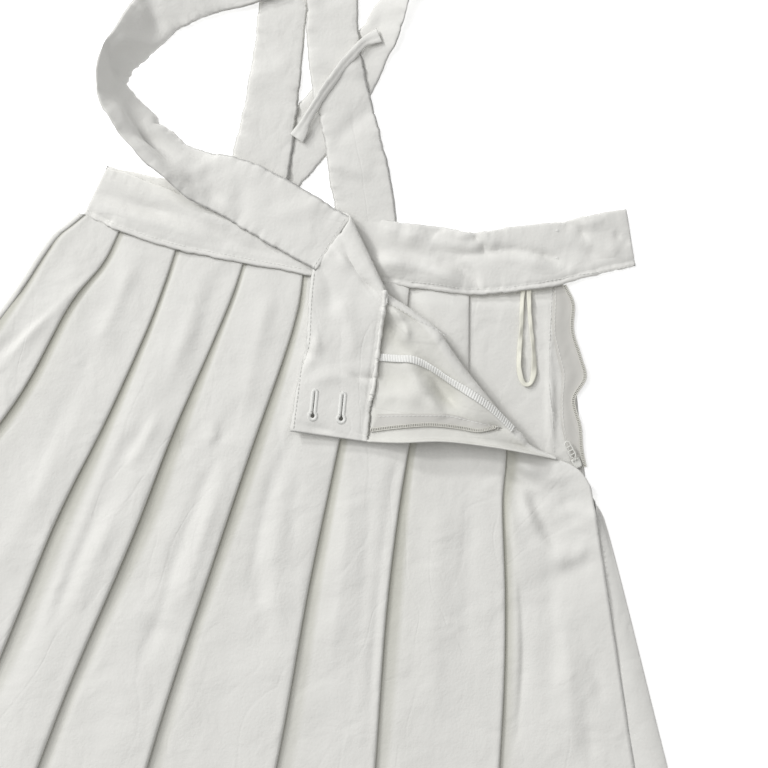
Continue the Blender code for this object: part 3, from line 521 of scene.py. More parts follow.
# Soft ridges (height above 0) and troughs (below 0) in the cloth. A row is a crease through three
# pixels, with its width and height, or is written out.
FRONT_CREASES = (
    # from x, from y, to x, to y, bow, width, height
    (-96.0, -130.0, -118.0, -250.0, 0.03, 9.0, -1.5),
    (-150.0, -150.0, -182.0, -260.0, 0.05, 10.0, 1.8),
    (6.0, -30.0, 4.0, -130.0, 0.04, 5.0, 1.5),
    (177.0, -146.0, 214.0, -320.0, 0.03, 6.0, 2.0),
    crease((487, 444), (507, 466), (538, 488), 4.4, -4.5),
    crease((497, 450), (524, 465), (556, 480), 6.0, 4.2),
    crease((530, 490), (542, 518), (555, 550), 5.5, -3.5),
    crease((520, 490), (530, 520), (545, 545), 6.0, 3.0),
    crease((545, 548), (562, 557), (586, 545), 7.0, 2.5),
    crease((560, 498), (566, 510), (574, 524), 12.0, -3.2),
    crease((543, 580), (570, 570), (592, 560), 7.0, -2.5),
    crease((588, 660), (597, 680), (600, 700), 5.0, -2.0),
    crease((585, 700), (587, 730), (590, 765), 6.0, -1.8),
    crease((556, 600), (566, 660), (570, 740), 9.0, 2.0),
    crease((545, 560), (552, 620), (548, 700), 8.0, -1.5),
    crease((505, 518), (521, 620), (509, 765), 4.4, -2.2),
    crease((503, 480), (512, 520), (516, 600), 5.0, 1.5),
    crease((148, 425), (130, 447), (112, 478), 4.4, -2.8),
    crease((120, 467), (90, 535), (55, 620), 4.4, -2.8),
    crease((160, 415), (146, 440), (128, 466), 5.0, 2.0),
    crease((133, 480), (108, 530), (80, 600), 7.0, 2.0),
    crease((183, 440), (195, 453), (207, 463), 4.4, -2.8),
    crease((240, 405), (226, 430), (210, 455), 4.4, -2.5),
    crease((216, 463), (190, 520), (165, 600), 4.4, -3.0),
    crease((165, 600), (155, 630), (140, 655), 5.0, -2.0),
    crease((228, 470), (206, 530), (186, 600), 6.0, 2.0),
    crease((205, 420), (214, 434), (212, 452), 6.0, 2.0),
    crease((292, 440), (277, 475), (262, 525), 4.4, -2.5),
    crease((262, 525), (257, 570), (264, 615), 5.0, -1.9),
    crease((284, 500), (276, 560), (280, 620), 8.0, 1.8),
    crease((300, 470), (296, 500), (292, 540), 6.0, -1.2),
    crease((85, 285), (55, 310), (0, 370), 4.5, 3.0),
    crease((64, 300), (34, 326), (0, 352), 4.4, -2.5),
    crease((52, 250), (34, 272), (8, 300), 4.4, -3.0),
    crease((48, 244), (24, 280), (0, 300), 4.4, 2.0),
    crease((125, 243), (150, 242), (172, 248), 4.4, -3.0),
    crease((128, 250), (150, 252), (170, 258), 4.4, 2.0),
    crease((195, 256), (215, 256), (238, 266), 4.4, -2.2),
    crease((262, 270), (282, 270), (300, 276), 4.4, -2.0),
    crease((135, 262), (120, 300), (98, 345), 6.0, 1.8),
    crease((150, 256), (142, 300), (124, 350), 6.0, -1.5),
    crease((95, 350), (70, 400), (38, 460), 7.0, -1.6),
    crease((205, 275), (188, 330), (165, 390), 7.0, 1.8),
    crease((222, 280), (208, 330), (196, 380), 5.0, -1.5),
    crease((272, 282), (262, 330), (246, 400), 7.0, 1.6),
    crease((330, 480), (322, 540), (306, 600), 6.0, -1.5),
    crease((352, 470), (344, 560), (330, 660), 8.0, 1.5),
    crease((372, 470), (366, 560), (352, 700), 6.0, -1.2),
    crease((398, 450), (386, 530), (370, 740), 4.4, -1.4),
    crease((440, 490), (436, 580), (428, 700), 9.0, 1.5),
    crease((470, 480), (468, 560), (462, 660), 7.0, -1.4),
)
FLAP_CREASES = (
    # from x, from y, to x, to y, bow, width, height
    crease((384, 300), (412, 317), (442, 334), 2.2, -2.3),
    crease((390, 302), (420, 312), (445, 336), 3.0, 1.6),
    crease((384, 316), (392, 338), (414, 353), 7.5, -5.4),
    crease((394, 310), (404, 326), (408, 342), 3.2, 3.4),
    crease((418, 360), (438, 386), (462, 414), 6.6, -8.4),
    (79.0, -53.1, 111.3, -81.1, -0.00, 3.6, 4.2),
    crease((440, 362), (462, 385), (492, 410), 5.0, 1.4),
    (97.0, -51.5, 119.5, -64.5, -0.02, 7.0, -4.4),
    crease((376, 374), (396, 380), (420, 374), 6.0, -3.2),
    crease((376, 398), (400, 396), (424, 404), 6.0, 2.0),
    crease((442, 334), (470, 366), (498, 404), 5.0, -2.4),
    crease((462, 418), (484, 424), (506, 428), 3.0, -2.0),
)
BACK_CREASES = (
    # from x, from y, to x, to y, bow, width, height
    (122.0, 4.0, 134.0, -50.0, 0.04, 6.0, 0.8),
    (142.0, -6.0, 150.0, -56.0, 0.03, 9.0, 0.7),
    (168.6, 27.0, 194.4, -92.0, 0.01, 2.3, 3.6),
    (90.0, 2.0, 100.0, -12.0, 0.10, 5.0, -0.7),
    (262.0, -190.0, 330.0, -330.0, 0.01, 7.0, 0.9),
    (-60.0, -60.0, -90.0, -260.0, 0.02, 9.0, 0.5),
    (20.0, -80.0, 24.0, -300.0, 0.02, 9.0, 0.5),
    (140.0, -120.0, 190.0, -330.0, 0.02, 10.0, 0.6),
)
BAND_CREASES = (
    # from, through and to in the photo's pixels, width, height
    crease((100, 195), (140, 206), (190, 220), 5.0, -2.6),
    crease((112, 210), (160, 226), (220, 240), 5.0, 2.3),
    crease((160, 196), (200, 214), (250, 236), 4.0, 2.0),
    crease((84, 206), (96, 216), (116, 222), 3.4, -2.3),
    crease((200, 226), (236, 244), (280, 256), 5.0, -2.2),
    crease((330, 250), (346, 262), (360, 282), 6.0, 3.0),
    crease((318, 262), (330, 290), (330, 320), 7.0, -2.3),
    crease((345, 250), (362, 280), (380, 296), 3.4, -3.0),
    crease((314, 340), (306, 356), (298, 372), 3.0, -3.6),
    crease((318, 330), (316, 346), (308, 366), 4.0, 2.6),
    crease((352, 376), (366, 378), (380, 376), 2.6, -2.6),
    crease((340, 300), (352, 330), (350, 360), 7.0, 2.0),
    crease((310, 384), (332, 376), (360, 384), 6.0, 2.0),
    crease((296, 424), (320, 428), (350, 436), 4.0, -1.7),
)
BACK_BAND_CREASES = (
    # from x, from y, to x, to y, bow, width, height
    (-120.0, 24.0, -20.0, 26.0, 0.02, 8.0, 1.4),
    crease((352, 249), (400, 252), (440, 262), 3.4, -5.3),
    crease((440, 262), (466, 272), (481, 290), 3.4, -5.9),
    crease((372, 262), (420, 268), (462, 284), 8.0, 5.9),
    crease((428, 250), (470, 255), (500, 250), 3.6, -3.6),
    crease((500, 250), (535, 254), (564, 264), 3.6, -4.5),
    crease((440, 244), (470, 246), (500, 242), 5.0, 1.4),
    crease((510, 256), (540, 262), (566, 274), 6.0, 3.1),
    crease((472, 236), (480, 243), (488, 254), 2.8, -3.6),
    crease((448, 232), (462, 236), (474, 238), 3.0, 1.8),
    crease((424, 229), (431, 234), (440, 230), 3.0, -2.4),
    crease((565, 222), (575, 228), (590, 240), 3.6, -2.6),
    crease((576, 222), (590, 224), (604, 218), 4.0, 1.6),
    crease((612, 232), (620, 238), (630, 242), 3.6, -1.6),
    crease((566, 250), (590, 254), (612, 262), 6.0, -1.8),
    crease((600, 240), (612, 250), (620, 262), 6.0, 1.6),
    crease((384, 228), (400, 234), (424, 238), 5.0, 2.7),
)
STRAP_TWO_CREASES = (
    # along at, across from, across to, slant, width, height
    (0.045, -0.9, 0.1, 0.020, 0.010, 1.7),
    (0.085, -0.2, 1.0, -0.012, 0.008, -1.5),
    (0.125, -0.9, 0.4, 0.016, 0.008, 1.7),
    (0.170, -0.2, 1.0, 0.014, 0.008, -1.8),
    (0.205, -1.0, 0.3, -0.010, 0.007, 1.8),
    (0.235, -0.3, 1.0, 0.012, 0.007, -2.1),
    (0.262, -1.0, 0.6, -0.012, 0.007, 2.4),
    (0.290, -0.6, 1.0, 0.010, 0.008, -2.4),
    (0.322, -1.0, 0.4, -0.010, 0.009, 2.0),
    (0.356, -0.4, 1.0, 0.012, 0.009, -1.7),
    (0.400, -1.0, 0.6, 0.014, 0.010, 1.4),
    (0.560, -1.0, 0.6, -0.012, 0.010, 1.5),
    (0.640, -0.6, 1.0, 0.012, 0.010, -1.5),
    (0.760, -1.0, 0.8, 0.012, 0.010, 1.4),
    (0.830, -0.5, 1.0, -0.012, 0.009, -1.4),
)
STRAP_TWO_FOLDS = (
    # from, through and to in the photo's pixels, width, height
    crease((118, 97), (150, 138), (186, 172), 3.4, -4.5),
    crease((186, 172), (206, 190), (230, 205), 4.0, -3.6),
    crease((112, 104), (140, 144), (170, 178), 5.0, 3.6),
    crease((134, 96), (160, 132), (200, 166), 5.0, 3.0),
    crease((142, 118), (154, 124), (168, 122), 3.0, -2.7),
    crease((200, 30), (216, 36), (230, 30), 4.0, -2.4),
)
STRAP_ONE_CREASES = (
    # along at, across from, across to, slant, width, height
    (0.060, -0.9, 0.5, 0.010, 0.008, -1.0),
    (0.120, -0.5, 1.0, -0.010, 0.009, 1.2),
    (0.260, -1.0, 0.4, 0.012, 0.010, 1.0),
    (0.400, -0.6, 1.0, 0.010, 0.010, 0.8),
    (0.620, -1.0, 0.6, 0.010, 0.010, 1.0),
    (0.740, -0.6, 1.0, -0.012, 0.010, 1.2),
    (0.800, -1.0, 0.5, 0.012, 0.009, -1.2),
    (0.860, -0.8, 0.9, -0.010, 0.010, 1.5),
    (0.915, -1.0, 0.6, 0.012, 0.008, -1.4),
    (0.955, -0.4, 1.0, -0.010, 0.007, 1.5),
)


def ease(value):
    """Smooth step from 0 to 1: 3 v squared minus 2 v cubed."""
    value = np.clip(value, 0.0, 1.0)
    return value * value * (3.0 - 2.0 * value)


def mixed(first, second, share):
    """From the first value at share 0 to the second at share 1."""
    return first + (second - first) * share


def smooth(rows, count):
    """Cubic curve through the rows of a table; each tangent is half the step between its neighbours."""
    rows = np.asarray(rows, float)
    full = np.vstack((2.0 * rows[0] - rows[1], rows, 2.0 * rows[-1] - rows[-2]))
    at = np.linspace(0.0, len(rows) - 1.0, count)
    first = np.minimum(at.astype(int), len(rows) - 2)
    u = (at - first)[:, None]
    p0, p1, p2, p3 = (full[first + step] for step in range(4))
    return 0.5 * (2.0 * p1 + (p2 - p0) * u + (2.0 * p0 - 5.0 * p1 + 4.0 * p2 - p3) * u ** 2
                  + (3.0 * p1 - p0 - 3.0 * p2 + p3) * u ** 3)


def at_lengths(points, share):
    """Rows of a curve at shares of its length, from 0 to 1."""
    step = np.linalg.norm(np.diff(points[:, :3], axis=0), axis=1)
    length = np.concatenate(([0.0], np.cumsum(step)))
    return np.column_stack([np.interp(np.asarray(share) * length[-1], length, column)
                            for column in points.T])


def rows_at(points, share):
    """Rows of a table at shares of its number of steps, from 0 to 1."""
    at = share * (len(points) - 1.0)
    return np.column_stack([np.interp(at, np.arange(len(points)), column) for column in points.T])


def look_up(table, key):
    """The second column of a table at values of its first column, along the cubic curve."""
    dense = smooth(table, 200)
    if dense[0, 0] > dense[-1, 0]:
        dense = dense[::-1]
    return np.interp(key, dense[:, 0], dense[:, 1])


def unit(vectors):
    """The same directions at length 1."""
    return vectors / np.maximum(np.linalg.norm(vectors, axis=-1), 1e-9)[..., None]


def cloth_normals(grid):
    """Normals of a grid of points: the step along the rows crossed with the step across them."""
    return unit(np.cross(np.gradient(grid, axis=0), np.gradient(grid, axis=1)))


def upward(vectors):
    """The same directions, turned over where they point down."""
    return vectors * np.where(vectors[..., 2:] < 0.0, -1.0, 1.0)


def relief(x, y, creases):
    """Height of a table's ridges and troughs at points of the cloth.

    Each lies along a bowed line. Its height falls with the
    distance over its width, to the power 1.5, dies away past its ends and varies along it.
    """
    total = np.zeros(np.shape(x))
    for x0, y0, x1, y1, bow, width, height in creases:
        length = math.hypot(x1 - x0, y1 - y0)
        dx, dy = (x1 - x0) / length, (y1 - y0) / length
        along = ((x - x0) * dx + (y - y0) * dy) / length
        inside = np.clip(along, 0.0, 1.0)
        off = (y - y0) * dx - (x - x0) * dy - 4.0 * bow * length * inside * (1.0 - inside)
        past = (along - inside) * length
        fade = np.sin(math.pi * (0.05 + 0.9 * inside)) ** 0.7
        uneven = 1.0 + 0.28 * np.sin(10.0 * along + 0.3 * x0)
        total += height * fade * uneven * np.exp(-(np.abs(off) / width) ** 1.5 - (past / width) ** 2)
    return total


def unevenness(x, y, size):
    """Slow waves of hand-laid cloth: three crossing sines of unequal length."""
    return size * (np.sin(0.051 * x + 0.023 * y + 0.4) * np.sin(0.037 * y - 0.019 * x + 1.3)
                   + 0.5 * np.sin(0.11 * x - 0.06 * y) * np.sin(0.07 * y + 2.0))


def spline(controls, counts):
    """Cubic curves through control points, rows by controls, each span cut into its count.

    Tangents are means of the two neighbouring slopes, weighted by the other
    span's length. Beside a short span they stay short, so that a tight fold
    does not bulge into the next panel.
    """
    span = np.maximum(np.linalg.norm(np.diff(controls, axis=1), axis=2), 1e-6)[..., None]
    slope = np.diff(controls, axis=1) / span
    tangent = np.concatenate((slope[:, :1], (span[:, 1:] * slope[:, :-1] + span[:, :-1] * slope[:, 1:])
                              / (span[:, 1:] + span[:, :-1]), slope[:, -1:]), axis=1)
    first = np.repeat(np.arange(len(counts)), counts)
    u = np.concatenate([np.arange(count) / count for count in counts])[None, :, None]
    before = np.concatenate((span[:, :1], span), axis=1)
    after = np.concatenate((span, span[:, -1:]), axis=1)
    near = np.minimum(before, after)
    p0, p1, h = controls[:, first], controls[:, first + 1], span[:, first]
    m0 = tangent[:, first] * np.minimum(h, FOLD_REACH * near[:, first])
    m1 = tangent[:, first + 1] * np.minimum(h, FOLD_REACH * near[:, first + 1])
    dense = ((2 * u ** 3 - 3 * u ** 2 + 1) * p0 + (u ** 3 - 2 * u ** 2 + u) * m0
             + (3 * u ** 2 - 2 * u ** 3) * p1 + (u ** 3 - u ** 2) * m1)
    return np.concatenate((dense, controls[:, -1:]), axis=1)


def grid_faces(rows, columns):
    """Quads of a grid numbered row by row, facing along rows crossed with columns."""
    corner = (np.arange(rows - 1)[:, None] * columns + np.arange(columns - 1)).ravel()
    return np.stack((corner, corner + columns, corner + columns + 1, corner + 1), axis=1)


def cloth_uv(grid):
    """Length across and along the cloth at each point of a grid, in metres."""
    across = np.linalg.norm(np.diff(grid, axis=1), axis=2)
    along = np.linalg.norm(np.diff(grid, axis=0), axis=2).mean(axis=1)
    u = np.concatenate((np.zeros((len(grid), 1)), np.cumsum(across, axis=1)), axis=1)
    v = np.concatenate(([0.0], np.cumsum(along)))
    u -= 0.5 * u[:, -1:]
    return np.stack((u, np.broadcast_to(v[:, None], u.shape)), axis=2).reshape(-1, 2) * MM


def new_piece(name, points, faces, uv, look, slot, nodes=(), body=BODY):
    """A mesh piece from points in the garment's millimetres, placed in its mesh."""
    mesh = bpy.data.meshes.new(name)
    mesh.from_pydata((points - ORIGIN) * MM, [], faces)
    layer = mesh.uv_layers.new(name="cloth")
    corner = np.zeros(len(mesh.loops), np.int32)
    mesh.loops.foreach_get("vertex_index", corner)
    layer.data.foreach_set("uv", np.asarray(uv, np.float32)[corner].ravel())
    mesh.materials.append(look)
    mesh.shade_smooth()
    piece = bpy.data.objects.new(name, mesh)
    bpy.context.scene.collection.objects.link(piece)
    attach(piece, body)
    if nodes:
        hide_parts(*nodes)
    return piece


def add_wall(piece, wall):
    """Gives an open sheet its thickness, half on each side."""
    shell = piece.modifiers.new("Wall", 'SOLIDIFY')
    shell.thickness = wall * MM
    shell.offset = 0.0
    shell.use_quality_normals = True


def shell_piece(name, grid, thick, look, slot, nodes=()):
    """A closed sheet about a grid of middle points.

    Its two sides lie half the thickness out along the normals, and share the
    points of the border, where the thickness is nothing.
    """
    rows, columns = grid.shape[:2]
    half = 0.5 * thick[..., None] * cloth_normals(grid)
    inner = (grid - half)[1:-1, 1:-1].reshape(-1, 3)
    points = np.concatenate(((grid + half).reshape(-1, 3), inner))
    below = np.arange(rows * columns).reshape(rows, columns)
    below[1:-1, 1:-1] = rows * columns + np.arange(len(inner)).reshape(rows - 2, columns - 2)
    under = np.stack((below[:-1, :-1], below[:-1, 1:], below[1:, 1:], below[1:, :-1]), axis=2)
    faces = np.concatenate((grid_faces(rows, columns), under.reshape(-1, 4)))
    uv = cloth_uv(grid)
    uv = np.concatenate((uv, uv.reshape(rows, columns, 2)[1:-1, 1:-1].reshape(-1, 2)))
    return new_piece(name, points, faces, uv, look, slot, nodes)


def border_spread(count):
    """Shares from -1 to 1 that lie closer together towards both ends."""
    t = np.linspace(-1.0, 1.0, count)
    return 0.55 * t + 0.45 * np.sin(0.5 * math.pi * t)


def rounded(share, sharpness=10.0):
    """Thickness of a folded edge, 1 inside and 0 at -1 and 1, as a high-power oval."""
    return np.sqrt(np.maximum(1.0 - np.abs(share) ** sharpness, 0.0))


def station_shares(count, length):
    """Even shares of a length with four close ones at each end for its rounded end."""
    near = np.array((0.0, 0.25, 0.6, 1.2)) * END_STEP / length
    inner = 2.4 * END_STEP / length
    return np.concatenate((near, np.linspace(inner, 1.0 - inner, count), 1.0 - near[::-1]))


def end_thickness(share, length, reach=1.0):
    """Thickness towards both ends of a length: a quarter circle over the reach."""
    from_end = np.minimum(share, 1.0 - share) * length / reach
    return np.sqrt(1.0 - (1.0 - np.clip(from_end, 0.0, 1.0)) ** 2)


def round_angles(count):
    """Even angles once round, in radians."""
    return np.linspace(0.0, 2.0 * math.pi, count + 1)[:-1]


def tube_faces(rings, around):
    """Quads between rings of points that are numbered ring by ring."""
    row = np.arange(rings - 1)[:, None] * around
    a = np.arange(around)[None, :]
    b = (a + 1) % around
    return np.stack((row + a, row + b, row + around + b, row + around + a), axis=2).reshape(-1, 4)


def threads(centre, tangent, normal, length, radius, arch=0.5):
    """Short threads, one at each centre: five rings of six points along a low arch."""
    side = unit(np.cross(normal, tangent))
    along = np.array((-0.5, -0.36, 0.0, 0.36, 0.5)) * length
    wide = np.array((0.35, 0.9, 1.0, 0.9, 0.35)) * radius
    rise = np.array((-0.6, 0.0, 1.0, 0.0, -0.6)) * arch * radius
    rings, around = len(along), 6
    angle = round_angles(around)
    middle = centre[:, None] + tangent[:, None] * along[None, :, None] + normal[:, None] * rise[None, :, None]
    ring = side[:, None, None] * np.cos(angle)[None, None, :, None] \
        + normal[:, None, None] * np.sin(angle)[None, None, :, None]
    points = middle[:, :, None] + ring * wide[None, :, None, None]
    base = (np.arange(len(centre)) * rings * around)[:, None]
    quads = base[..., None] + tube_faces(rings, around)
    first = base + np.array((0, 5, 4, 3, 2, 1))
    last = base + (rings - 1) * around + np.arange(around)
    # Each end is closed by two quads.
    ends = np.concatenate((first[:, [0, 1, 2, 3]], first[:, [0, 3, 4, 5]],
                           last[:, [0, 1, 2, 3]], last[:, [0, 3, 4, 5]]))
    return points.reshape(-1, 3), np.concatenate((quads.reshape(-1, 4), ends))


def rope(path, normal, radius, around):
    """A round cord along a path, pointed at both ends, with an even number of points around."""
    tangent = unit(np.gradient(path, axis=0))
    side = unit(np.cross(normal, tangent))
    up = np.cross(tangent, side)
    angle = round_angles(around)
    radius = np.broadcast_to(np.asarray(radius, float), (len(path),)).copy()
    radius[[0, -1]] *= 0.15
    ring = side[:, None] * np.cos(angle)[None, :, None] + up[:, None] * np.sin(angle)[None, :, None]
    points = (path[:, None] + ring * radius[:, None, None]).reshape(-1, 3)
    fan = np.arange(1, around - 2, 2)
    cap = np.stack((np.zeros_like(fan), fan, fan + 1, fan + 2), axis=1)
    ends = (cap[:, [0, 3, 2, 1]], cap + (len(path) - 1) * around)
    return points, np.concatenate((tube_faces(len(path), around), *ends))


def merged(parts):
    """Several point and face arrays as one."""
    points, faces, base = [], [], 0
    for part_points, part_faces in parts:
        points.append(part_points)
        faces.append(part_faces + base)
        base += len(part_points)
    return np.concatenate(points), np.concatenate(faces)


def plan_piece(name, parts, look, slot, nodes=(), body=BODY):
    """One piece of several forms; its pattern runs on the plan of the garment."""
    points, faces = merged(parts)
    return new_piece(name, points, faces, points[:, :2] * MM, look, slot, nodes, body)


def laid_on(grid, path, lift):
    """A plan path laid on a grid seen from above: each point takes the nearest point's plane."""
    flat = grid.reshape(-1, 3)
    normal = upward(cloth_normals(grid)).reshape(-1, 3)
    near = ((path[:, None, :2] - flat[None, :, :2]) ** 2).sum(axis=2).argmin(axis=1)
    n = normal[near]
    step = path[:, :2] - flat[near, :2]
    z = flat[near, 2] - (n[:, :2] * step).sum(axis=1) / np.maximum(n[:, 2], 0.5)
    return np.column_stack((path[:, :2], z)) + n * lift, n


def even_path(points, pitch):
    """A curve through a few plan points, cut evenly at a pitch, with its directions."""
    dense = smooth(np.asarray(points, float), 40 * len(points))
    length = np.linalg.norm(np.diff(dense, axis=0), axis=1).sum()
    path = at_lengths(np.column_stack((dense, np.zeros(len(dense)))), np.linspace(0, 1, int(length / pitch)))
    return path[:, :2]


def seam_threads(grid, path, pitch, length, radius, lift):
    """Stitches along a plan path on a grid."""
    centre, normal = laid_on(grid, even_path(path, pitch), lift)
    return threads(centre, unit(np.gradient(centre, axis=0)), normal, length, radius)


# Skirt

FRONT_SHARES = np.concatenate((np.linspace(0.0, 0.2, 40)[:-1], np.linspace(0.2, 0.72, 82)[:-1],
                               np.linspace(0.72, 1.0, 14)))
PLEAT_SPANS = (3, 2, 8, 11, 5, 1, 1, 2, 1, 1, 1)
LAST_SPANS = (5, 6, 12, 14)
ROLL_STEPS = 18
FLAP_ROWS = (0.0, 0.1, 0.22, 0.4, 0.68, 1.0)
FLAP_STEPS = 8                           # rows of the turned cloth for each of these
EDGE_BOW = (2.6, 3.6)
EDGE_LIFT = 3.4
FLAP_SWELL = 5.4                         # the turned cloth stands up this much in its middle
FLAP_EDGE_LIFT = 7.0                     # and this much at its zip edge
BAND_END_LIFT = 2.6
ZIP_EDGE_ROLL = 1.8                      # height of the roll of cloth beyond the zip's coil
FOLD_STRAIGHT = 20                       # points at the start of the turned fold, of its 160
PLEAT_START = 1.5                        # a panel starts this far past the last pressed edge
OPEN_START = 3.2                         # and this many open steps further where that pleat is open
TURNED_START_OVER = 0.13                 # the first turned panel's shift dies away over this share
PANEL_RISE = 0.35                        # a panel rises over this share of its width
STRIP_OVER = 0.4                         # the low strip widens over this share of the length
OPEN_PANEL = 0.62                        # place of an opened panel's middle, in its width
OPEN_STEPS = (-6.0, -2.0, -1.0, 0.0, 1.0, 2.0, 3.0)   # and of its layers, in open steps from its line
FOLD_REACH = 3.0                         # a tight fold's pull on the next span, in its own lengths
# Painted shade at each control across a pleat: full at the start of the low strip and under each pressed
# edge, fading across the strip, none on the panel
VALLEY_SHADE = (1.0, 0.75, 0.12, 0.0, 0.0, 0.0, 0.0, 1.0, 1.0, 1.0, 1.0)
FULLNESS = (0.8, 0.9, 1.3, 1.1, 0.8, 0.9, 0.7)   # how far each pleat stands up, of the puff
TURNED_PAINTED_SHADE = 0.25                     # painted shade over all the turned cloth
HOLLOW_PAINTED_SHADE = 0.3                       # and more painted shade in its troughs
PINCH = 0.3                              # the layers are pressed together this much in the waist seam
FLAT_STATIONS = 90                       # stations of the front band before its roll
ROLLED_STATIONS = 246                    # and up to its turned part
REST = 1.0                               # least height of a band's or strap's middle
END_STEP = 0.5                           # size of the first stations at a rounded end
CREASE_START = 0.06                      # the creases begin over this share below the waist seam
FLAP_FALL = 42.0                         # the turned cloth comes down from the roll over this
FLAP_REACH = 30.0                        # and swells up over this from the roll and from the waist seam
FLAP_EDGE_REACH = 25.0
BAND_END_REACH = 45.0
BAND_ROLL_HEIGHT = 0.7                   # roll beside a band's seam, and the trough beside the roll
BAND_ROLL_WIDTH = 1.3
BACK_EDGE_RISE = 2.2                     # the back's edge stands this much over the seam's rise
TAPE_WALL = 0.55                         # thickness of the zip's tape
BAND_OVERLAP = 1.4                       # a band's edge lies this far over the skirt


def hem_height(x):
    """Height of the hem at x: each pleat line has the same length."""
    angle = np.radians(np.linspace(-32.0, 32.0, 257))
    hem_x = FAN_X + FAN_Y * np.tan(angle) + SKIRT_LENGTH * np.sin(angle)
    return np.interp(x, hem_x, -SKIRT_LENGTH * np.cos(angle))


class TurnedFold:
    """The roll over which the front's corner is turned."""

    def __init__(self):
        dense = smooth(FOLD, 160)
        step = np.linalg.norm(np.diff(dense[:, :2], axis=0), axis=1)
        self.length = np.concatenate(([0.0], np.cumsum(step)))
        self.edge = dense[:, :2]
        self.radius = dense[:, 2]
        tangent = np.gradient(self.edge, axis=0)
        # The fold starts straight, in one direction.
        tangent[:FOLD_STRAIGHT] = tangent[FOLD_STRAIGHT]
        tangent = unit(tangent)
        self.out = np.column_stack((-tangent[:, 1], tangent[:, 0]))
        self.along = tangent

    def at(self, where):
        """Edge point, outward direction and radius at a length along the fold."""
        edge = np.stack([np.interp(where, self.length, column) for column in self.edge.T], -1)
        out = np.stack([np.interp(where, self.length, column) for column in self.out.T], -1)
        before = np.minimum(where, 0.0)[..., None]
        return edge + before * self.along[0], out, np.interp(where, self.length, self.radius)

    def foot(self, where):
        """Where the roll leaves the flat front."""
        edge, out, radius = self.at(where)
        return edge - out * radius[..., None]

    def where(self, x):
        """Length along the fold at which its foot has this x."""
        length = np.concatenate(([-SEAM_SLANT], self.length))
        return np.interp(x, self.foot(length)[:, 0], length)


def front_top(x, fold):
    """Height of the front's first row: the waist seam, then the foot of the roll."""
    start = fold.foot(np.array([-SEAM_SLANT]))[0]
    foot = np.vstack((start, fold.foot(fold.length)))
    return np.where(x < start[0], look_up(WAIST, x), np.interp(x, foot[:, 0], foot[:, 1]))


def pleat_lines(share, fold):
    """Side seams and pressed edges of the front: their x and y at shares of the length."""
    top_x = np.array([LEFT_WAIST] + [row[0] for row in FRONT_PLEATS])
    low_x = np.array([LEFT_SEAM_HEM] + [row[1] for row in FRONT_PLEATS])
    top_y = front_top(top_x, fold)
    x = top_x + (low_x - top_x) * share[:, None]
    y = top_y + (hem_height(low_x) - top_y) * share[:, None]
    x[:, 0] = look_up(SIDE_LEFT, y[:, 0]) + SEAM_INSET
    for pleat, wander in enumerate(EDGE_WANDER):
        x[:, pleat + 1] += look_up(np.column_stack((WANDER_AT, (0.0, *wander, 0.0))), share)
    # The right seam goes from the roll to the foot of the zip and on to the hem.
    foot = fold.foot(fold.length[-1:])[0]
    zip_foot, low = np.array(ZIP_FOOT), np.array((RIGHT_SEAM_HEM, hem_height(RIGHT_SEAM_HEM)))
    above = (share / FRONT_KNEE)[:, None]
    below = ((share - FRONT_KNEE) / (1.0 - FRONT_KNEE))[:, None]
    bow = np.array(EDGE_BOW) * np.sin(math.pi * np.clip(above, 0.0, 1.0))
    right = np.where(above < 1.0, foot + (zip_foot - foot) * above + bow,
                     zip_foot + (low - zip_foot) * below)
    return np.column_stack((x, right[:, 0])), np.column_stack((y, right[:, 1]))


def pleat_section(number, left, line, share, puff):
    """Controls across one pleat: its panel, pressed edge and the two layers back under it."""
    depth_waist, depth_hem, opened = FRONT_PLEATS[number][2:]
    depth = depth_waist + (depth_hem - depth_waist) * share
    closed = ease(share / opened) if opened else np.ones(len(share))
    before = FRONT_PLEATS[number - 1][4] if number else 0.0
    start = left + (PLEAT_START if number else 0.0)
    if before:
        start = start + OPEN_STEP * OPEN_START * (1.0 - ease(share / before))
    elif number == FIRST_TURNED:
        start = start + START_SHIFT * (1.0 - ease(share / TURNED_START_OVER))
    inner = line - depth
    rise = np.maximum(inner - np.maximum(PANEL_RISE * (inner - left), 3.0), start + 3.0)
    first = LOW + (0.0 if number else 1.0)
    strip = mixed(STRIP_WAIST, STRIP_HEM, ease(share / STRIP_OVER))
    strip = np.minimum(strip, 0.6 * (rise - start))
    # The strip and the fullness change a little along each pleat, and from pleat to pleat.
    strip = strip * (1.0 + 0.22 * np.sin(9.0 * share + 1.7 * number))
    puff = puff * FULLNESS[number] * (1.0 + 0.2 * np.sin(11.0 * share + 2.1 * number))
    nose = FOLD_NOSE + 0.05 * puff
    x = [start, start + 0.7 * strip, start + 1.15 * strip, rise, inner + 0.6 * depth, line - nose,
         line, line - 0.6 * nose, inner + FOLD_NOSE, inner, inner + FOLD_NOSE]
    z = [first, first + 0.1, first + 0.35 + 0.25 * closed + 0.1 * puff, TOP - 0.6 + 0.4 * puff,
         TOP + 0.2 + 0.8 * puff, TOP + 0.1 + 0.76 * puff, TOP - 0.5 * LAYER + 0.5 * puff, MIDDLE + 0.2 * puff,
         MIDDLE, MIDDLE - 0.5 * LAYER, LOW]
    # Where the pleat has opened out, its panel lies low and its layers follow each other past its line.
    panel, layers = 3, 4
    x[panel] = mixed(left + OPEN_PANEL * (line - left), x[panel], closed)
    z[panel] = mixed(LOW + 1.4, z[panel], closed)
    for order, step in enumerate(OPEN_STEPS):
        x[layers + order] = mixed(line + step * OPEN_STEP, x[layers + order], closed)
        z[layers + order] = mixed(LOW + 1.7 - 0.28 * order, z[layers + order], ease(8.0 * closed))
    return x, [np.broadcast_to(value, share.shape) for value in z]


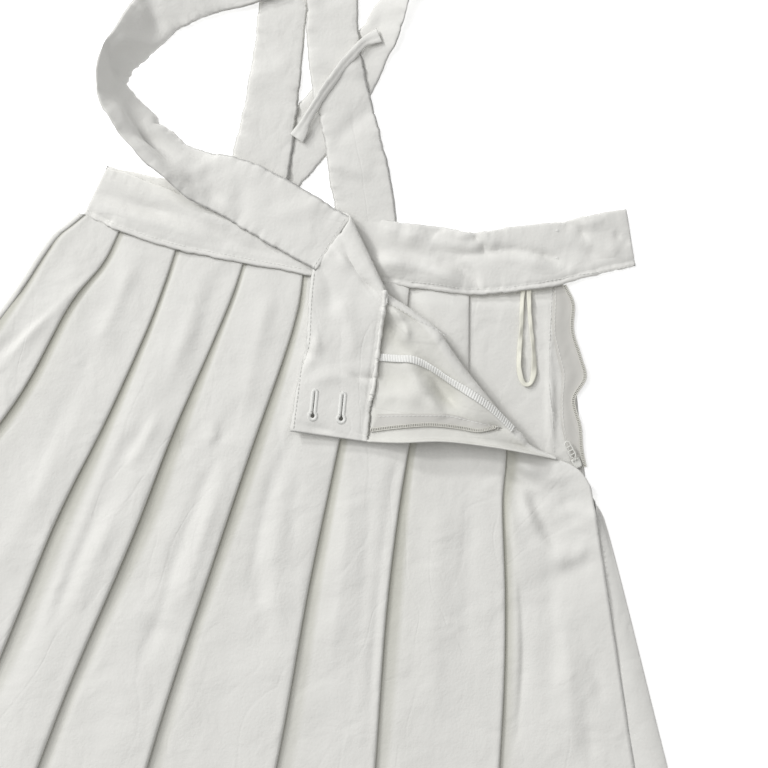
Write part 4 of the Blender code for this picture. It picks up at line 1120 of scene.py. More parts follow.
def front_grid(share, fold):
    """Grid of the front from the waist seam and the roll to the hem, left to right.

    At each share of the length every pleat lies as a flat Z: its panel rises
    from the strip beside the last edge to its own edge, and two layers go back
    under it. Folds keep their place between the fanned lines. Second value: how
    much of the surface relief each column takes, none in the hidden layers.
    Third value: how much painted shade it takes.
    """
    lines_x, lines_y = pleat_lines(share, fold)
    top_x, top_y = (line[0] for line in pleat_lines(np.zeros(1), fold))
    # The pleats stand up most halfway down and lie flatter towards the hem.
    puff = PUFF * ease((share - 0.03) / 0.5) * (1.0 - 0.7 * ease((share - 0.86) / 0.14))
    x, z = [], []
    pleats = len(FRONT_PLEATS)
    for number in range(pleats):
        part_x, part_z = pleat_section(number, lines_x[:, number], lines_x[:, number + 1], share, puff)
        x += part_x
        z += part_z
    left, line = lines_x[:, pleats], lines_x[:, pleats + 1]
    room = line - left
    start = left + PLEAT_START + OPEN_STEP * OPEN_START * (1.0 - ease(share / FRONT_PLEATS[-1][4]))
    lift = EDGE_LIFT * np.sin(math.pi * np.clip(share / (2.0 * FRONT_KNEE), 0.0, 1.0))
    rise = SEAM_RISE * ease((ZIP_FOOT[1] - lines_y[:, -1]) / CLOSING) ** 3
    x += [start, start + 0.08 * room, start + 0.16 * room, left + 0.55 * room, line]
    z += [np.full(len(share), LOW + height) for height in (0.0, 0.3, 1.3)]
    z += [LOW + 1.6 + 0.5 * puff + 0.5 * lift + 0.4 * rise, LOW + 1.6 + lift + rise]
    x, z = np.stack(x, axis=1), np.stack(z, axis=1)
    sewn = len(PLEAT_SPANS) * FIRST_TURNED
    z[:, :sewn] *= 1.0 - PINCH * (1.0 - ease(share / 0.05))[:, None]
    inside = np.clip(x, top_x[0], top_x[-1])
    bend = front_top(inside, fold) - np.interp(inside, top_x, top_y)
    y = np.stack([np.interp(*row) for row in zip(x, lines_x, lines_y)])
    y += bend * (1.0 - ease(share / 0.4))[:, None]
    controls = np.stack((x, y, z + FRONT_BASE), axis=2)
    counts = PLEAT_SPANS * pleats + LAST_SPANS
    taken = np.array((0.5, 1, 1, 1, 1, 0.9, 0.6, 0.3, 0, 0, 0) * pleats + (0.5, 1, 1, 1, 0.6))
    first = np.repeat(np.arange(len(counts)), counts)
    at = np.append(first + np.concatenate([np.arange(count) / count for count in counts]), len(counts))
    deep = np.array(VALLEY_SHADE * pleats + (1.0, 0.2, 0.0, 0.0, 0.0))
    kinds = np.arange(len(taken))
    return spline(controls, counts), np.interp(at, kinds, taken), np.interp(at, kinds, deep)


def corner_grid(row, fold):
    """Roll and turned cloth that go on from the front's first row.

    Each column goes round the roll, at the height of its layer, through half a
    circle of the roll's radius, and then lies back over the front to its place
    on the waist seam. The zip edge stands up a little.
    """
    low = fold.where(row[:, 0])
    low[0] = -SEAM_SLANT
    spread = (low - low[0]) / (low[-1] - low[0])
    high = SEAM_SLANT + (low[-1] - SEAM_SLANT) * spread
    layer = row[:, 2] - FRONT_BASE
    part = (np.arange(1, ROLL_STEPS + 1) / ROLL_STEPS)[:, None]
    edge, out, radius = fold.at(low + (high - low) * part)
    arm = radius - layer
    plan = edge + out * (arm * np.sin(math.pi * part) - radius)[..., None]
    height = FRONT_BASE + radius - arm * np.cos(math.pi * part)
    roll = np.concatenate((plan, height[..., None]), axis=2)
    top = roll[-1]
    waist = at_lengths(smooth(FLAP_WAIST, 60), np.linspace(0.0, 1.0, 200))
    along = 0.07 + 0.93 * ease(0.5 * (spread + spread ** 1.3)) ** 0.9
    target = rows_at(waist, along)
    zip_edge = at_lengths(smooth(FLAP_ZIP, 60), np.linspace(0.0, 1.0, 200))[::-1]
    steps = (len(FLAP_ROWS) - 1) * FLAP_STEPS
    share = np.interp(np.arange(1, steps + 1) / FLAP_STEPS, np.arange(len(FLAP_ROWS)), FLAP_ROWS)
    chord = zip_edge[0] + (zip_edge[-1] - zip_edge[0]) * share[:, None]
    bow = rows_at(zip_edge, share) - chord
    plan = top[:, :2] + (target - top[:, :2]) * share[:, None, None] \
        + bow[:, None] * (spread ** 3)[None, :, None]
    gone = np.linalg.norm(plan - top[:, :2], axis=2)
    height = top[:, 2] + (FLAP_REST - top[:, 2]) * ease(gone / FLAP_FALL)
    from_seam = np.linalg.norm(plan - target, axis=2)
    height = height + FLAP_SWELL * ease(from_seam / FLAP_REACH) * ease(gone / FLAP_REACH)
    height = height + FLAP_EDGE_LIFT * (spread ** 4)[None, :] * ease(gone / FLAP_EDGE_REACH) \
        * (1.0 - 0.48 * ease(1.0 - from_seam / 40.0))
    from_end = np.hypot(plan[..., 0] - FLAP_WAIST[-1][0], plan[..., 1] - FLAP_WAIST[-1][1])
    height = height + BAND_END_LIFT * ease(1.0 - from_end / BAND_END_REACH) * (1.0 - spread ** 4)[None, :]
    flap = np.concatenate((plan, height[..., None]), axis=2)
    return np.concatenate((roll, flap)), spread


@lru_cache(maxsize=1)
def skirt_front():
    """Grids of the front's laid and turned parts, the column where the turned one starts, and painted shades.
    """
    fold = TurnedFold()
    grid, taken, deep = front_grid(FRONT_SHARES, fold)
    start = sum(PLEAT_SPANS) * FIRST_TURNED
    corner, spread = corner_grid(grid[0, start:], fold)
    x, y = grid[..., 0], grid[..., 1]
    hush = ease(FRONT_SHARES / CREASE_START)[:, None]
    bump = (relief(x, y, FRONT_CREASES) + unevenness(x, y, 0.45)) * taken * hush
    last = np.arange(grid.shape[1]) >= sum(PLEAT_SPANS) * len(FRONT_PLEATS)
    free = ease((x - 118.0) / 12.0) * np.where(last, 1.0, 1.0 - ease((x - 134.0) / 10.0))
    # A trough goes no deeper than the room under the cloth there.
    room = 0.35 + 2.2 * ease(FRONT_SHARES / 0.5)[:, None] + 2.0 * free
    grid[..., 2] += np.where(bump < 0.0, room * np.tanh(bump / room), bump)
    x, y = corner[..., 0], corner[..., 1]
    rows = np.arange(len(corner))[:, None]
    turned = ease((rows - ROLL_STEPS + 4.0) / 6.0)
    folds = relief(x, y, FLAP_CREASES) * turned
    corner[..., 2] += folds
    roll_over = np.exp(-((spread - 0.955) / 0.035) ** 2)[None, :] * turned
    corner[..., 2] += ZIP_EDGE_ROLL * roll_over
    corner[ROLL_STEPS:, :, 2] = np.maximum(corner[ROLL_STEPS:, :, 2], FLAP_REST - 0.8)
    # Painted shade: the front's weights vary a little along the length; the turned cloth takes a little all
    # over and more in its troughs.
    shade = deep * (0.75 + 0.25 * np.sin(7.0 * FRONT_SHARES)[:, None])
    hollow = TURNED_PAINTED_SHADE * turned + HOLLOW_PAINTED_SHADE * np.clip(-folds / 6.0, 0.0, 1.0)
    return grid, corner, start, np.concatenate((shade.ravel(), hollow.ravel()))


def front_faces(grid, corner, start):
    """Points, faces and pattern lengths of the front with its turned corner."""
    rows, columns = grid.shape[:2]
    count = corner.shape[1]
    points = np.concatenate((grid.reshape(-1, 3), corner.reshape(-1, 3)))
    above = np.vstack((start + np.arange(count),
                       rows * columns + np.arange(corner.shape[0] * count).reshape(-1, count)))
    quads = np.stack((above[1:, :-1], above[:-1, :-1], above[:-1, 1:], above[1:, 1:]), axis=2)
    faces = np.concatenate((grid_faces(rows, columns), quads.reshape(-1, 4)))
    uv = cloth_uv(grid)
    whole = np.concatenate((grid[:1, start:], corner))
    up = np.cumsum(np.linalg.norm(np.diff(whole, axis=0), axis=2).mean(axis=1)) * MM
    u = np.broadcast_to(uv[start:columns, 0], (len(up), count))
    v = np.broadcast_to(-up[:, None], u.shape)
    return points, faces, np.concatenate((uv, np.stack((u, v), axis=2).reshape(-1, 2)))


BACK_SHARES = np.concatenate((np.linspace(0.0, 0.2, 26)[:-1], np.linspace(0.2, 1.0, 60)))
BACK_FOLD_SPANS = (5, 6, 2, 2, 6, 2, 2, 10)


def back_grid(share):
    """Grid of the back from the waist to the hem, left seam to right one.

    It comes down round the left side in half a circle, lies on the surface in
    panels with the folded layers of each pleat above it, and goes round the
    right side below the zip; beside the zip it lies flat.
    """
    fold = TurnedFold()
    lines_x, lines_y = pleat_lines(share, fold)
    bend = 0.5 * (SEAM_LAYER - LOW)
    ones = np.ones(len(share))
    left_x, left_y = lines_x[:, 0], lines_y[:, 0]
    points = [(left_x - SIDE_SEAM, left_y, SEAM_LAYER * ones)]
    for turn in SIDE_TURNS:
        points.append((left_x - SEAM_INSET + bend * (1.0 - math.cos(turn)) + 0.5, left_y,
                       (LOW + bend * (1.0 + math.sin(turn))) * ones))
    start_y = SIDE_RIGHT[0][0]
    right_y = np.where(share >= FRONT_KNEE, lines_y[:, -1],
                       start_y + (ZIP_FOOT[1] - start_y) * share / FRONT_KNEE)
    right_share = (right_y - start_y) / (hem_height(RIGHT_SEAM_HEM) - start_y)
    for pleat in range(BACK_PLEATS):
        waist_x = BACK_FIRST_PLEAT + BACK_PLEAT_STEP * pleat
        own = share + (right_share - share) * ease(waist_x / RIGHT_WAIST)
        hem_x = waist_x + SKIRT_LENGTH * math.sin(math.atan((waist_x - FAN_X) / FAN_Y))
        waist_y = look_up(BACK_WAIST, waist_x)
        inner = waist_x + (hem_x - waist_x) * own
        y = waist_y + (hem_height(hem_x) - waist_y) * own
        outer = inner - BACK_DEPTH_WAIST - (BACK_DEPTH_HEM - BACK_DEPTH_WAIST) * own
        for x, z in ((outer - BACK_RAMP, LOW), (outer - FOLD_NOSE, TOP), (inner - FOLD_NOSE, TOP),
                     (inner, TOP - 0.5 * LAYER), (inner - FOLD_NOSE, MIDDLE), (outer + FOLD_NOSE, MIDDLE),
                     (outer, LOW + 0.5 * LAYER), (outer + FOLD_NOSE, LOW)):
            fall = look_up(BACK_WAIST, waist_x + x - inner) - waist_y
            points.append((x, y + fall * (1.0 - own), z * ones))
    contour = look_up(SIDE_RIGHT, right_y)
    closed = ease((ZIP_FOOT[1] - right_y) / CLOSING)
    edge_x = contour - ZIP_ALLOWANCE
    last_x, last_y = points[-1][:2]
    rest_x = edge_x - math.pi * bend - EDGE_REST
    high = 1.0 - ease(share / 0.3)
    for part in (0.3, 0.6):
        waist_x = BACK_LAST + (rest_x - BACK_LAST) * part
        straight = BACK_LAST_HEIGHT + (start_y - BACK_LAST_HEIGHT) * part
        points.append((last_x + (rest_x - last_x) * part,
                       last_y + (right_y - last_y) * part + (look_up(BACK_WAIST, waist_x) - straight) * high,
                       LOW * ones))
    turned = np.maximum(math.pi * closed, 1e-3)
    length = math.pi * bend
    start_x = edge_x - length - EDGE_REST
    start_x = start_x + (contour - bend - 0.5 - start_x) * closed
    radius = length / turned
    for part in np.linspace(0.0, 1.0, len(SIDE_TURNS)):
        x = start_x + radius * np.sin(turned * part)
        points.append((x, right_y + np.minimum(look_up(BACK_WAIST, x) - start_y, 0.0) * high,
                       LOW + radius * (1.0 - np.cos(turned * part)) * (1.0 - 0.4 * closed)))
    beyond = EDGE_REST + (points[-1][0] - lines_x[:, -1] - SIDE_SEAM - EDGE_REST) * closed ** 3
    points.append((points[-1][0] + beyond * np.cos(turned), points[-1][1],
                   points[-1][2] + beyond * np.sin(turned) + (SEAM_RISE + BACK_EDGE_RISE) * closed ** 3))
    controls = np.stack([np.stack(point, axis=1) for point in points], axis=1)
    around = (1,) * len(SIDE_TURNS)
    counts = (*around, 8, *(BACK_FOLD_SPANS * BACK_PLEATS)[:-1], 12, 16, 30, *around[:-1], 1)
    grid = spline(controls, counts)
    x, y = grid[..., 0], grid[..., 1]
    near = ease(share / 0.05)[:, None]
    grid[..., 2] += near * np.maximum(relief(x, y, BACK_CREASES) + unevenness(x, y, 0.2), 0.0) \
        * ease((2.2 - grid[..., 2]) / 1.0)
    grid[..., 2] = np.maximum(grid[..., 2], 0.35)
    return grid, controls[0]


# Waistbands and straps


def front_band_stations(corner, first_point):
    """Stations of the front band: flat, round the roll, and turned over."""
    at = list(range(2, ROLL_STEPS, 3)) + list(range(ROLL_STEPS + FLAP_STEPS - 1, len(corner), FLAP_STEPS))
    seam = np.vstack((first_point, corner[at, 0])) + np.array(ROLL_SEAM)
    table = np.vstack((FRONT_BAND, np.hstack((seam, np.array(BAND_ROLL))), TURNED_BAND))
    end = ease((np.arange(len(table)) - len(table) + 6.0) / 5.0)
    table[:, 2] += BAND_END_LIFT * end
    table[:, 5] += 1.2 * BAND_END_LIFT * end
    return smooth(table, 14 * len(table))


def back_band_stations(first_row):
    """Stations of the back band: its seam edge follows the top of the back's layers."""
    rows = smooth(BACK_BAND, 2 * len(BACK_BAND) - 1)
    start, end = first_row[:-1], first_row[1:]
    start, end = (np.where(start[:, :1] < end[:, :1], start, end),
                  np.where(start[:, :1] < end[:, :1], end, start))
    for row in rows:
        over = (start[:, 0] <= row[0]) & (row[0] < end[:, 0])
        if over.any():
            share = (row[0] - start[over, 0]) / (end[over, 0] - start[over, 0])
            row[1] = np.max(start[over, 1] + (end[over, 1] - start[over, 1]) * share)
    return smooth(rows, 14 * len(rows))


def pucker(along, phase):
    """Uneven small waves of a sewn edge, by length along it: three sines, 23, 9 and 5 mm long."""
    return (0.34 * np.sin(along / 3.66 + phase) + 0.24 * np.sin(along / 1.43 + 2.3 * phase)
            + 0.14 * np.sin(along / 0.8 + 4.1 * phase)) * (0.65 + 0.35 * np.sin(along / 11.0 + phase))


def band_grid(stations, creases, lift):
    """Middle surface of a waistband: straight from its seam edge to its upper edge.

    The seam edge lies a little over the skirt, and both edges are puckered.
    """
    seam, upper = stations[:, :3], stations[:, 3:]
    along = np.concatenate(([0.0], np.cumsum(np.linalg.norm(np.diff(upper, axis=0), axis=1))))[:, None]
    down = unit(seam - upper)
    seam = seam + down * (BAND_OVERLAP + pucker(along, 0.8)) + np.array((0.0, 0.0, lift))
    upper = upper - down * pucker(along, 2.1)
    share = 0.5 + 0.5 * border_spread(25)
    grid = seam[:, None] + (upper - seam)[:, None] * share[None, :, None]
    normal = upward(cloth_normals(grid))
    bump = relief(grid[..., 0], grid[..., 1], creases) + unevenness(grid[..., 0], grid[..., 1], 0.2)
    bump = bump + 0.9 * pucker(along, 1.4) * np.abs(2.0 * share - 1.0)[None] ** 3
    from_seam = np.linalg.norm(grid - grid[:, :1], axis=2)
    for height, place in ((BAND_ROLL_HEIGHT, 1.6), (-BAND_ROLL_HEIGHT, 4.2)):
        bump = bump + height * np.exp(-((from_seam - place) / BAND_ROLL_WIDTH) ** 2)
    grid = grid + normal * bump[..., None]
    grid[..., 2] = np.maximum(grid[..., 2], REST)
    return grid


def strip_grid(table, shares, across, first_side=None, last_side=None, puckered=0.0):
    """Grid of a flat strip along a path, turned about the path by its tilt.

    Near an end that is sewn on, the strip's cross direction turns to the seam.
    Its edges wave in and out and up and down where it is puckered.
    """
    rows = at_lengths(smooth(table, 40 * len(table)), shares)
    path = rows[:, :3]
    tangent = unit(np.gradient(path, axis=0))
    side = unit(np.column_stack((-tangent[:, 1], tangent[:, 0], np.zeros(len(path)))))
    for index in range(1, len(side)):
        if side[index] @ side[index - 1] < 0.0:
            side[index] = -side[index]
    reach = np.concatenate(([0.0], np.cumsum(np.linalg.norm(np.diff(path, axis=0), axis=1))))
    for end, distance in ((first_side, reach), (last_side, reach[-1] - reach)):
        if end is not None:
            near = ease(1.0 - distance / END_TURN)[:, None]
            side = unit(side * (1.0 - near) + np.array((*end, 0.0)) * near)
    tilt = np.radians(rows[:, 4])[:, None]
    up = upward(np.cross(tangent, side))
    side = side * np.cos(tilt) + up * np.sin(tilt)
    across = np.asarray(across)[None, :]
    wave = np.where(across < 0.0, pucker(reach[:, None], 0.7), pucker(reach[:, None], 3.1))
    reach_out = (0.5 * rows[:, 3, None] + puckered * wave) * across
    lifted = 1.8 * puckered * wave * across ** 4
    normal = upward(unit(np.cross(tangent, side)))
    return path[:, None] + side[:, None] * reach_out[..., None] + normal[:, None] * lifted[..., None]


def strap_length(table):
    """Length of a path's curve, in millimetres."""
    dense = smooth(table, 400)[:, :3]
    return np.linalg.norm(np.diff(dense, axis=0), axis=1).sum()


def strap_wrinkles(shares, across, creases):
    """Ridges and troughs across a strap, each slanted and over part of its width."""
    total = np.zeros((len(shares), len(across)))
    s, c = shares[:, None], across[None, :]
    for at, low, high, slant, width, height in creases:
        inside = ease((c - low) / 0.5 + 0.5) * ease((high - c) / 0.5 + 0.5)
        total += height * inside * np.exp(-((s - at - slant * c) / width) ** 2)
    return total


# Looks


def size_of(name):
    """One of the skirt's sizes, in millimetres."""
    return getattr(bpy.context.scene.skirt_sizes, name) / MM


PAINTED_SHADE_TINT = (0.73, 0.73, 0.67)         # painted shade: the share of the cloth's colour it darkens to in pleat troughs and hollows


def new_look(name, colour, roughness, sheen=0.0):
    """A material with its shader, nodes and links; sheen and roughness are constants."""
    look = bpy.data.materials.new(name)
    look.use_nodes = True
    nodes, links = look.node_tree.nodes, look.node_tree.links
    shader = nodes["Principled BSDF"]
    shader.inputs["Base Color"].default_value = (*colour, 1.0)
    shader.inputs["Roughness"].default_value = roughness
    shader.inputs["Sheen Weight"].default_value = sheen
    shader.inputs["Sheen Roughness"].default_value = 0.4
    return look, nodes, links, shader


def add_node(nodes, kind, **values):
    """A shader node with the values of some inputs, an underscore standing for a space."""
    node = nodes.new("ShaderNode" + kind)
    for name, value in values.items():
        node.inputs[name.replace("_", " ")].default_value = value
    return node


def add_bump(nodes, links, height, strength, depth, under=None):
    """Normal of a bump with its depth in millimetres, over the normal of another one."""
    bump = add_node(nodes, "Bump", Strength=strength, Distance=depth * MM)
    links.new(height, bump.inputs["Height"])
    if under:
        links.new(under, bump.inputs["Normal"])
    return bump.outputs["Normal"]


def add_mix(nodes, links, factor, colour):
    """Mix of two colours, with the second one and the factor given."""
    mix = nodes.new("ShaderNodeMix")
    mix.data_type = 'RGBA'
    mix.inputs["B"].default_value = (*colour, 1.0)
    links.new(factor, mix.inputs["Factor"])
    return mix


def tone_of(nodes, links, factor, colour, dark, light):
    """A colour that changes with a factor between a darker and a lighter tone of itself."""
    tone = add_mix(nodes, links, factor, np.minimum(light * np.array(colour), 1.0))
    tone.inputs["A"].default_value = (*(dark * np.array(colour)), 1.0)
    return tone.outputs["Result"]


def wrinkle_height(nodes, links, lengths):
    """Narrow troughs where a noise drawn out along the cloth passes its middle value."""
    drawn = add_node(nodes, "Mapping", Scale=(1.0, 0.42, 1.0))
    wrinkle = add_node(nodes, "TexNoise", Scale=24.0, Detail=1.5, Roughness=0.45, Distortion=0.8)
    away = nodes.new("ShaderNodeMath")
    away.operation = 'SUBTRACT'
    away.inputs[1].default_value = 0.5
    narrow = nodes.new("ShaderNodeMath")
    narrow.operation = 'ABSOLUTE'
    trough = add_node(nodes, "MapRange", From_Max=0.035)
    trough.interpolation_type = 'SMOOTHSTEP'
    links.new(lengths, drawn.inputs["Vector"])
    links.new(drawn.outputs["Vector"], wrinkle.inputs["Vector"])
    links.new(wrinkle.outputs["Fac"], away.inputs[0])
    links.new(away.outputs["Value"], narrow.inputs[0])
    links.new(narrow.outputs["Value"], trough.inputs["Value"])
    return trough.outputs["Result"]


def cloth_look(name, colour, pitch, turn, relief_depth, nap, roughness, sheen):
    """Woven cloth: bands at a pitch and a turn, fine nap, a slow change of tone, and painted shade.

    The bands are a sine of the piece's own lengths, so they follow the cloth.
    """
    look, nodes, links, shader = new_look(name, colour, roughness, sheen)
    shader.inputs["Specular IOR Level"].default_value = 0.2
    lengths = nodes.new("ShaderNodeUVMap")
    lengths.uv_map = "cloth"
    place = nodes.new("ShaderNodeTexCoord").outputs["Object"]
    turned = add_node(nodes, "Mapping", Rotation=(0.0, 0.0, math.radians(turn)))
    weave = add_node(nodes, "TexWave", Scale=0.314 / pitch, Distortion=1.2, Detail=1.0)
    fibre = add_node(nodes, "TexNoise", Scale=520.0, Detail=4.0)
    slow = add_node(nodes, "TexNoise", Scale=45.0, Detail=4.0)
    crumple = add_node(nodes, "TexNoise", Scale=34.0, Detail=2.0, Roughness=0.55, Distortion=0.35)
    links.new(lengths.outputs["UV"], turned.inputs["Vector"])
    links.new(turned.outputs["Vector"], weave.inputs["Vector"])
    for noise in (fibre, slow, crumple):
        links.new(place, noise.inputs["Vector"])
    # Painted shade: a weight stored on each point darkens the cloth towards the shade tint.
    painted_shade_weight = nodes.new("ShaderNodeAttribute")
    painted_shade_weight.attribute_name = "painted_shade_weight"
    shaded = add_mix(nodes, links, painted_shade_weight.outputs["Fac"], np.array(PAINTED_SHADE_TINT) * colour)
    links.new(tone_of(nodes, links, slow.outputs["Fac"], colour, 0.955, 1.02), shaded.inputs["A"])
    links.new(shaded.outputs["Result"], shader.inputs["Base Color"])
    normal = add_bump(nodes, links, crumple.outputs["Fac"], 0.6, 3.4)
    normal = add_bump(nodes, links, wrinkle_height(nodes, links, lengths.outputs["UV"]), 0.4, 0.22, normal)
    normal = add_bump(nodes, links, weave.outputs["Fac"], 0.5, relief_depth, normal)
    normal = add_bump(nodes, links, fibre.outputs["Fac"], 0.5, nap, normal)
    links.new(normal, shader.inputs["Normal"])
    return look


def speckled_look(name, colour, roughness, coat, grain, depth):
    """Smooth hard or spun matter with a fine grain in its tone and surface."""
    look, nodes, links, shader = new_look(name, colour, roughness)
    shader.inputs["Coat Weight"].default_value = coat
    shader.inputs["Coat Roughness"].default_value = 0.2
    noise = add_node(nodes, "TexNoise", Scale=grain, Detail=2.0)
    links.new(nodes.new("ShaderNodeTexCoord").outputs["Object"], noise.inputs["Vector"])
    links.new(tone_of(nodes, links, noise.outputs["Fac"], colour, 0.93, 1.03), shader.inputs["Base Color"])
    links.new(add_bump(nodes, links, noise.outputs["Fac"], 0.4, depth), shader.inputs["Normal"])
    return look


CLOTH_LOOKS = {
    # kind: material, colour, pitch of the weave, its turn, its depth, nap, roughness, sheen
    "twill": ("white_twill", "cloth", 0.9, 52.0, 0.26, 0.5, 0.92, 0.25),
    "tape": ("zip_tape_weave", "tape", 1.0, 90.0, 0.3, 0.06, 0.85, 0.2),
    "satin": ("hanger_satin", "hanger", 0.5, 0.0, 0.05, 0.02, 0.38, 0.1),
}
SPECKLED_LOOKS = {
    # kind: material, colour, roughness, coat, fineness of the grain, its depth
    "lacquer": ("white_lacquer", "zip_metal", 0.35, 0.3, 400.0, 0.03),
    "resin": ("button_resin", "button", 0.3, 0.3, 200.0, 0.02),
    "thread": ("sewing_thread", "thread", 0.75, 0.0, 2500.0, 0.08),
    "coil": ("zip_coil", "coil", 0.5, 0.0, 900.0, 0.04),
}


def look_of(kind):
    """The material of a kind of matter; made once."""
    make, looks = (cloth_look, CLOTH_LOOKS) if kind in CLOTH_LOOKS else (speckled_look, SPECKLED_LOOKS)
    name, colour, *values = looks[kind]
    colours = bpy.context.scene.skirt_colours
    return bpy.data.materials.get(name) or make(name, getattr(colours, colour), *values)


# Pieces


def sheet_size(grid):
    """Flat width, length and area of a grid, in metres and square metres."""
    across = np.linalg.norm(np.diff(grid, axis=1), axis=2).sum(axis=1)
    along = np.linalg.norm(np.diff(grid, axis=0), axis=2).sum(axis=0)
    cell = np.linalg.norm(np.cross(grid[1:, :-1] - grid[:-1, :-1], grid[:-1, 1:] - grid[:-1, :-1]), axis=2)
    return across.max() * MM, along.max() * MM, cell.sum() * MM * MM


def declare_sheet(grid, extra=0.0):
    """Flat width, length and area of a laid sheet's grid; extra is area beyond its grid. They are worked out
    and not used.
    """
    width, length, area = sheet_size(grid)
    area += extra
    length = max(length, area / width)


def add_front():
    """The front with its pressed pleats and its turned corner."""
    grid, corner, start, shade = skirt_front()
    piece = new_piece("skirt_front", *front_faces(grid, corner, start), look_of("twill"), "twill",
                      ("front_panel",))
    # Painted shade: each point's weight of the shade tint, read by the cloth's material.
    piece.data.attributes.new("painted_shade_weight", 'FLOAT', 'POINT').data.foreach_set("value", shade)
    add_wall(piece, size_of("cloth_wall"))
    declare_sheet(grid, sheet_size(corner)[2])


def add_open_sheet(name, grid, look, wall, node):
    """A sheet of one layer of cloth from its grid."""
    piece = new_piece(name, grid.reshape(-1, 3), grid_faces(*grid.shape[:2]), cloth_uv(grid),
                      look_of(look), look, (node,))
    add_wall(piece, wall)
    declare_sheet(grid)


@lru_cache(maxsize=1)
def front_band():
    """Grid of the front band, from its left end to its buttonhole end."""
    grid, corner, start = skirt_front()[:3]
    return band_grid(front_band_stations(corner, grid[0, start]), BAND_CREASES, 1.2)


@lru_cache(maxsize=1)
def back_band_only():
    """Grid of the back band, which needs no more of the back than its first row."""
    return band_grid(back_band_stations(back_grid(BACK_SHARES[:1])[1]), BACK_BAND_CREASES, 1.0)


@lru_cache(maxsize=1)
def front_strap():
    """First part of the second strap, where it is sewn to the front band."""
    shares = np.linspace(0.0, 0.12, 50)
    return strip_grid(STRAP_TWO, shares, border_spread(13), TWO_FIRST_SIDE, None, 1.0)


def add_band(name, grid, node):
    """A waistband as a closed sheet, full in the middle and rounded at its edges."""
    share = border_spread(grid.shape[1])
    ends = rounded(border_spread(grid.shape[0]), 120.0)
    thick = size_of("band_wall") * rounded(share)[None, :] * ends[:, None]
    piece = shell_piece(name, grid, thick, look_of("twill"), "twill", (node,))
    declare_sheet(grid)
    return piece


def add_strap(name, table, creases, folds, sides, count, node):
    """A strap as a closed folded sheet with rounded edges and wrinkles across."""
    length = strap_length(table)
    shares = station_shares(count, length)
    across = border_spread(13)
    grid = strip_grid(table, shares, across, *sides, puckered=1.0)
    normal = upward(cloth_normals(grid))
    bump = strap_wrinkles(shares, across, creases) + relief(grid[..., 0], grid[..., 1], folds) \
        + unevenness(grid[..., 0], grid[..., 1], 0.35)
    grid = grid + normal * bump[..., None] * end_thickness(shares, length, 12.0)[:, None, None]
    grid[..., 2] = np.maximum(grid[..., 2], REST)
    thick = size_of("strap_wall") * rounded(across, 8.0)[None, :] * end_thickness(shares, length)[:, None]
    piece = shell_piece(name, grid, thick, look_of("twill"), "twill", (node,))
    declare_sheet(grid)


def loft(rings):
    """Points and faces of a closed form through rings of points, with flat ends."""
    count, around = rings.shape[:2]
    step = np.arange(around // 2 - 1)
    cap = np.stack((step, step + 1, around - 2 - step, around - 1 - step), axis=1)
    faces = np.concatenate((tube_faces(count, around), cap[:, ::-1], cap + (count - 1) * around))
    return rings.reshape(-1, 3), faces


def slider_point(across, along, up):
    """A place on the zip's slider in the garment's frame."""
    c, s = math.cos(SLIDER_TURN), math.sin(SLIDER_TURN)
    return np.stack((SLIDER_AT[0] + across * c - along * s, SLIDER_AT[1] + across * s + along * c,
                     SLIDER_BASE + up + 0.0 * across), axis=-1)


def add_slider():
    """Slider body, lofted along its length and narrower at its foot, with two lugs."""
    t = np.linspace(-1.0, 1.0, 21)[:, None]
    angle = round_angles(24)[None]
    wide = (3.2 - 0.5 * np.clip(-t, 0.0, 1.0)) * (1.0 - np.abs(t) ** 7) ** 0.5 + 0.05
    high = 1.1 * (1.0 - np.abs(t) ** 9) ** 0.5 + 0.02
    c, s = np.cos(angle), np.sin(angle)
    across = wide * np.sign(c) * np.abs(c) ** 0.35
    up = 1.1 + high * np.sign(s) * np.abs(s) ** 0.6
    parts = [loft(slider_point(across, 4.0 * t + 0.0 * across, up))]
    lug_t = np.linspace(-1.0, 1.0, 9)[:, None]
    lug = 0.45 * (1.0 - np.abs(lug_t) ** 6) ** 0.5 + 0.02
    for middle in (-LUG_OUT, LUG_OUT):
        parts.append(loft(slider_point(middle + lug * c, PIN_AHEAD + 0.9 * lug_t + 0.0 * c,
                                       2.6 + 0.9 * (1.0 - np.abs(lug_t) ** 4) * s)))
    plan_piece("zip_slider_body", parts, look_of("lacquer"), "zip_metal", ("zip_slider",))


def add_pull_tab():
    """The pull tab: an open frame of wire with a bar at its pin and three rungs."""
    rise = PIN_HEIGHT - SLIDER_BASE
    half = smooth(TAB_HALF + tuple((-x, y) for x, y in TAB_HALF[-2::-1]), 90)
    path = slider_point(half[:, 0], half[:, 1] + PIN_AHEAD, rise)
    flat = np.tile((0.0, 0.0, 1.0), (len(path), 1))
    parts = [rope(path, flat, 0.45, 10)]
    for at, reach in TAB_BARS:
        bar = slider_point(np.linspace(-reach, reach, 9), np.full(9, at) + PIN_AHEAD, rise)
        parts.append(rope(bar, flat[:9], 0.42, 10))
    plan_piece("zip_pull_tab", parts, look_of("lacquer"), "zip_metal", ("zip_pull",), "pull_tab")


def add_buttons():
    """Round resin buttons with a dished middle, turned about their axis."""
    outline = smooth(BUTTON_PROFILE, 41)
    angle = round_angles(48)
    for name, node, (x, y) in zip(("button_one", "button_two"), ("button_upper", "button_lower"), BUTTONS):
        rings = np.stack((x + outline[:, :1] * np.cos(angle), y + outline[:, :1] * np.sin(angle),
                          BUTTON_BASE + outline[:, 1:] + 0.0 * angle), axis=2)
        plan_piece(name, [loft(rings)], look_of("resin"), "button", (node,))


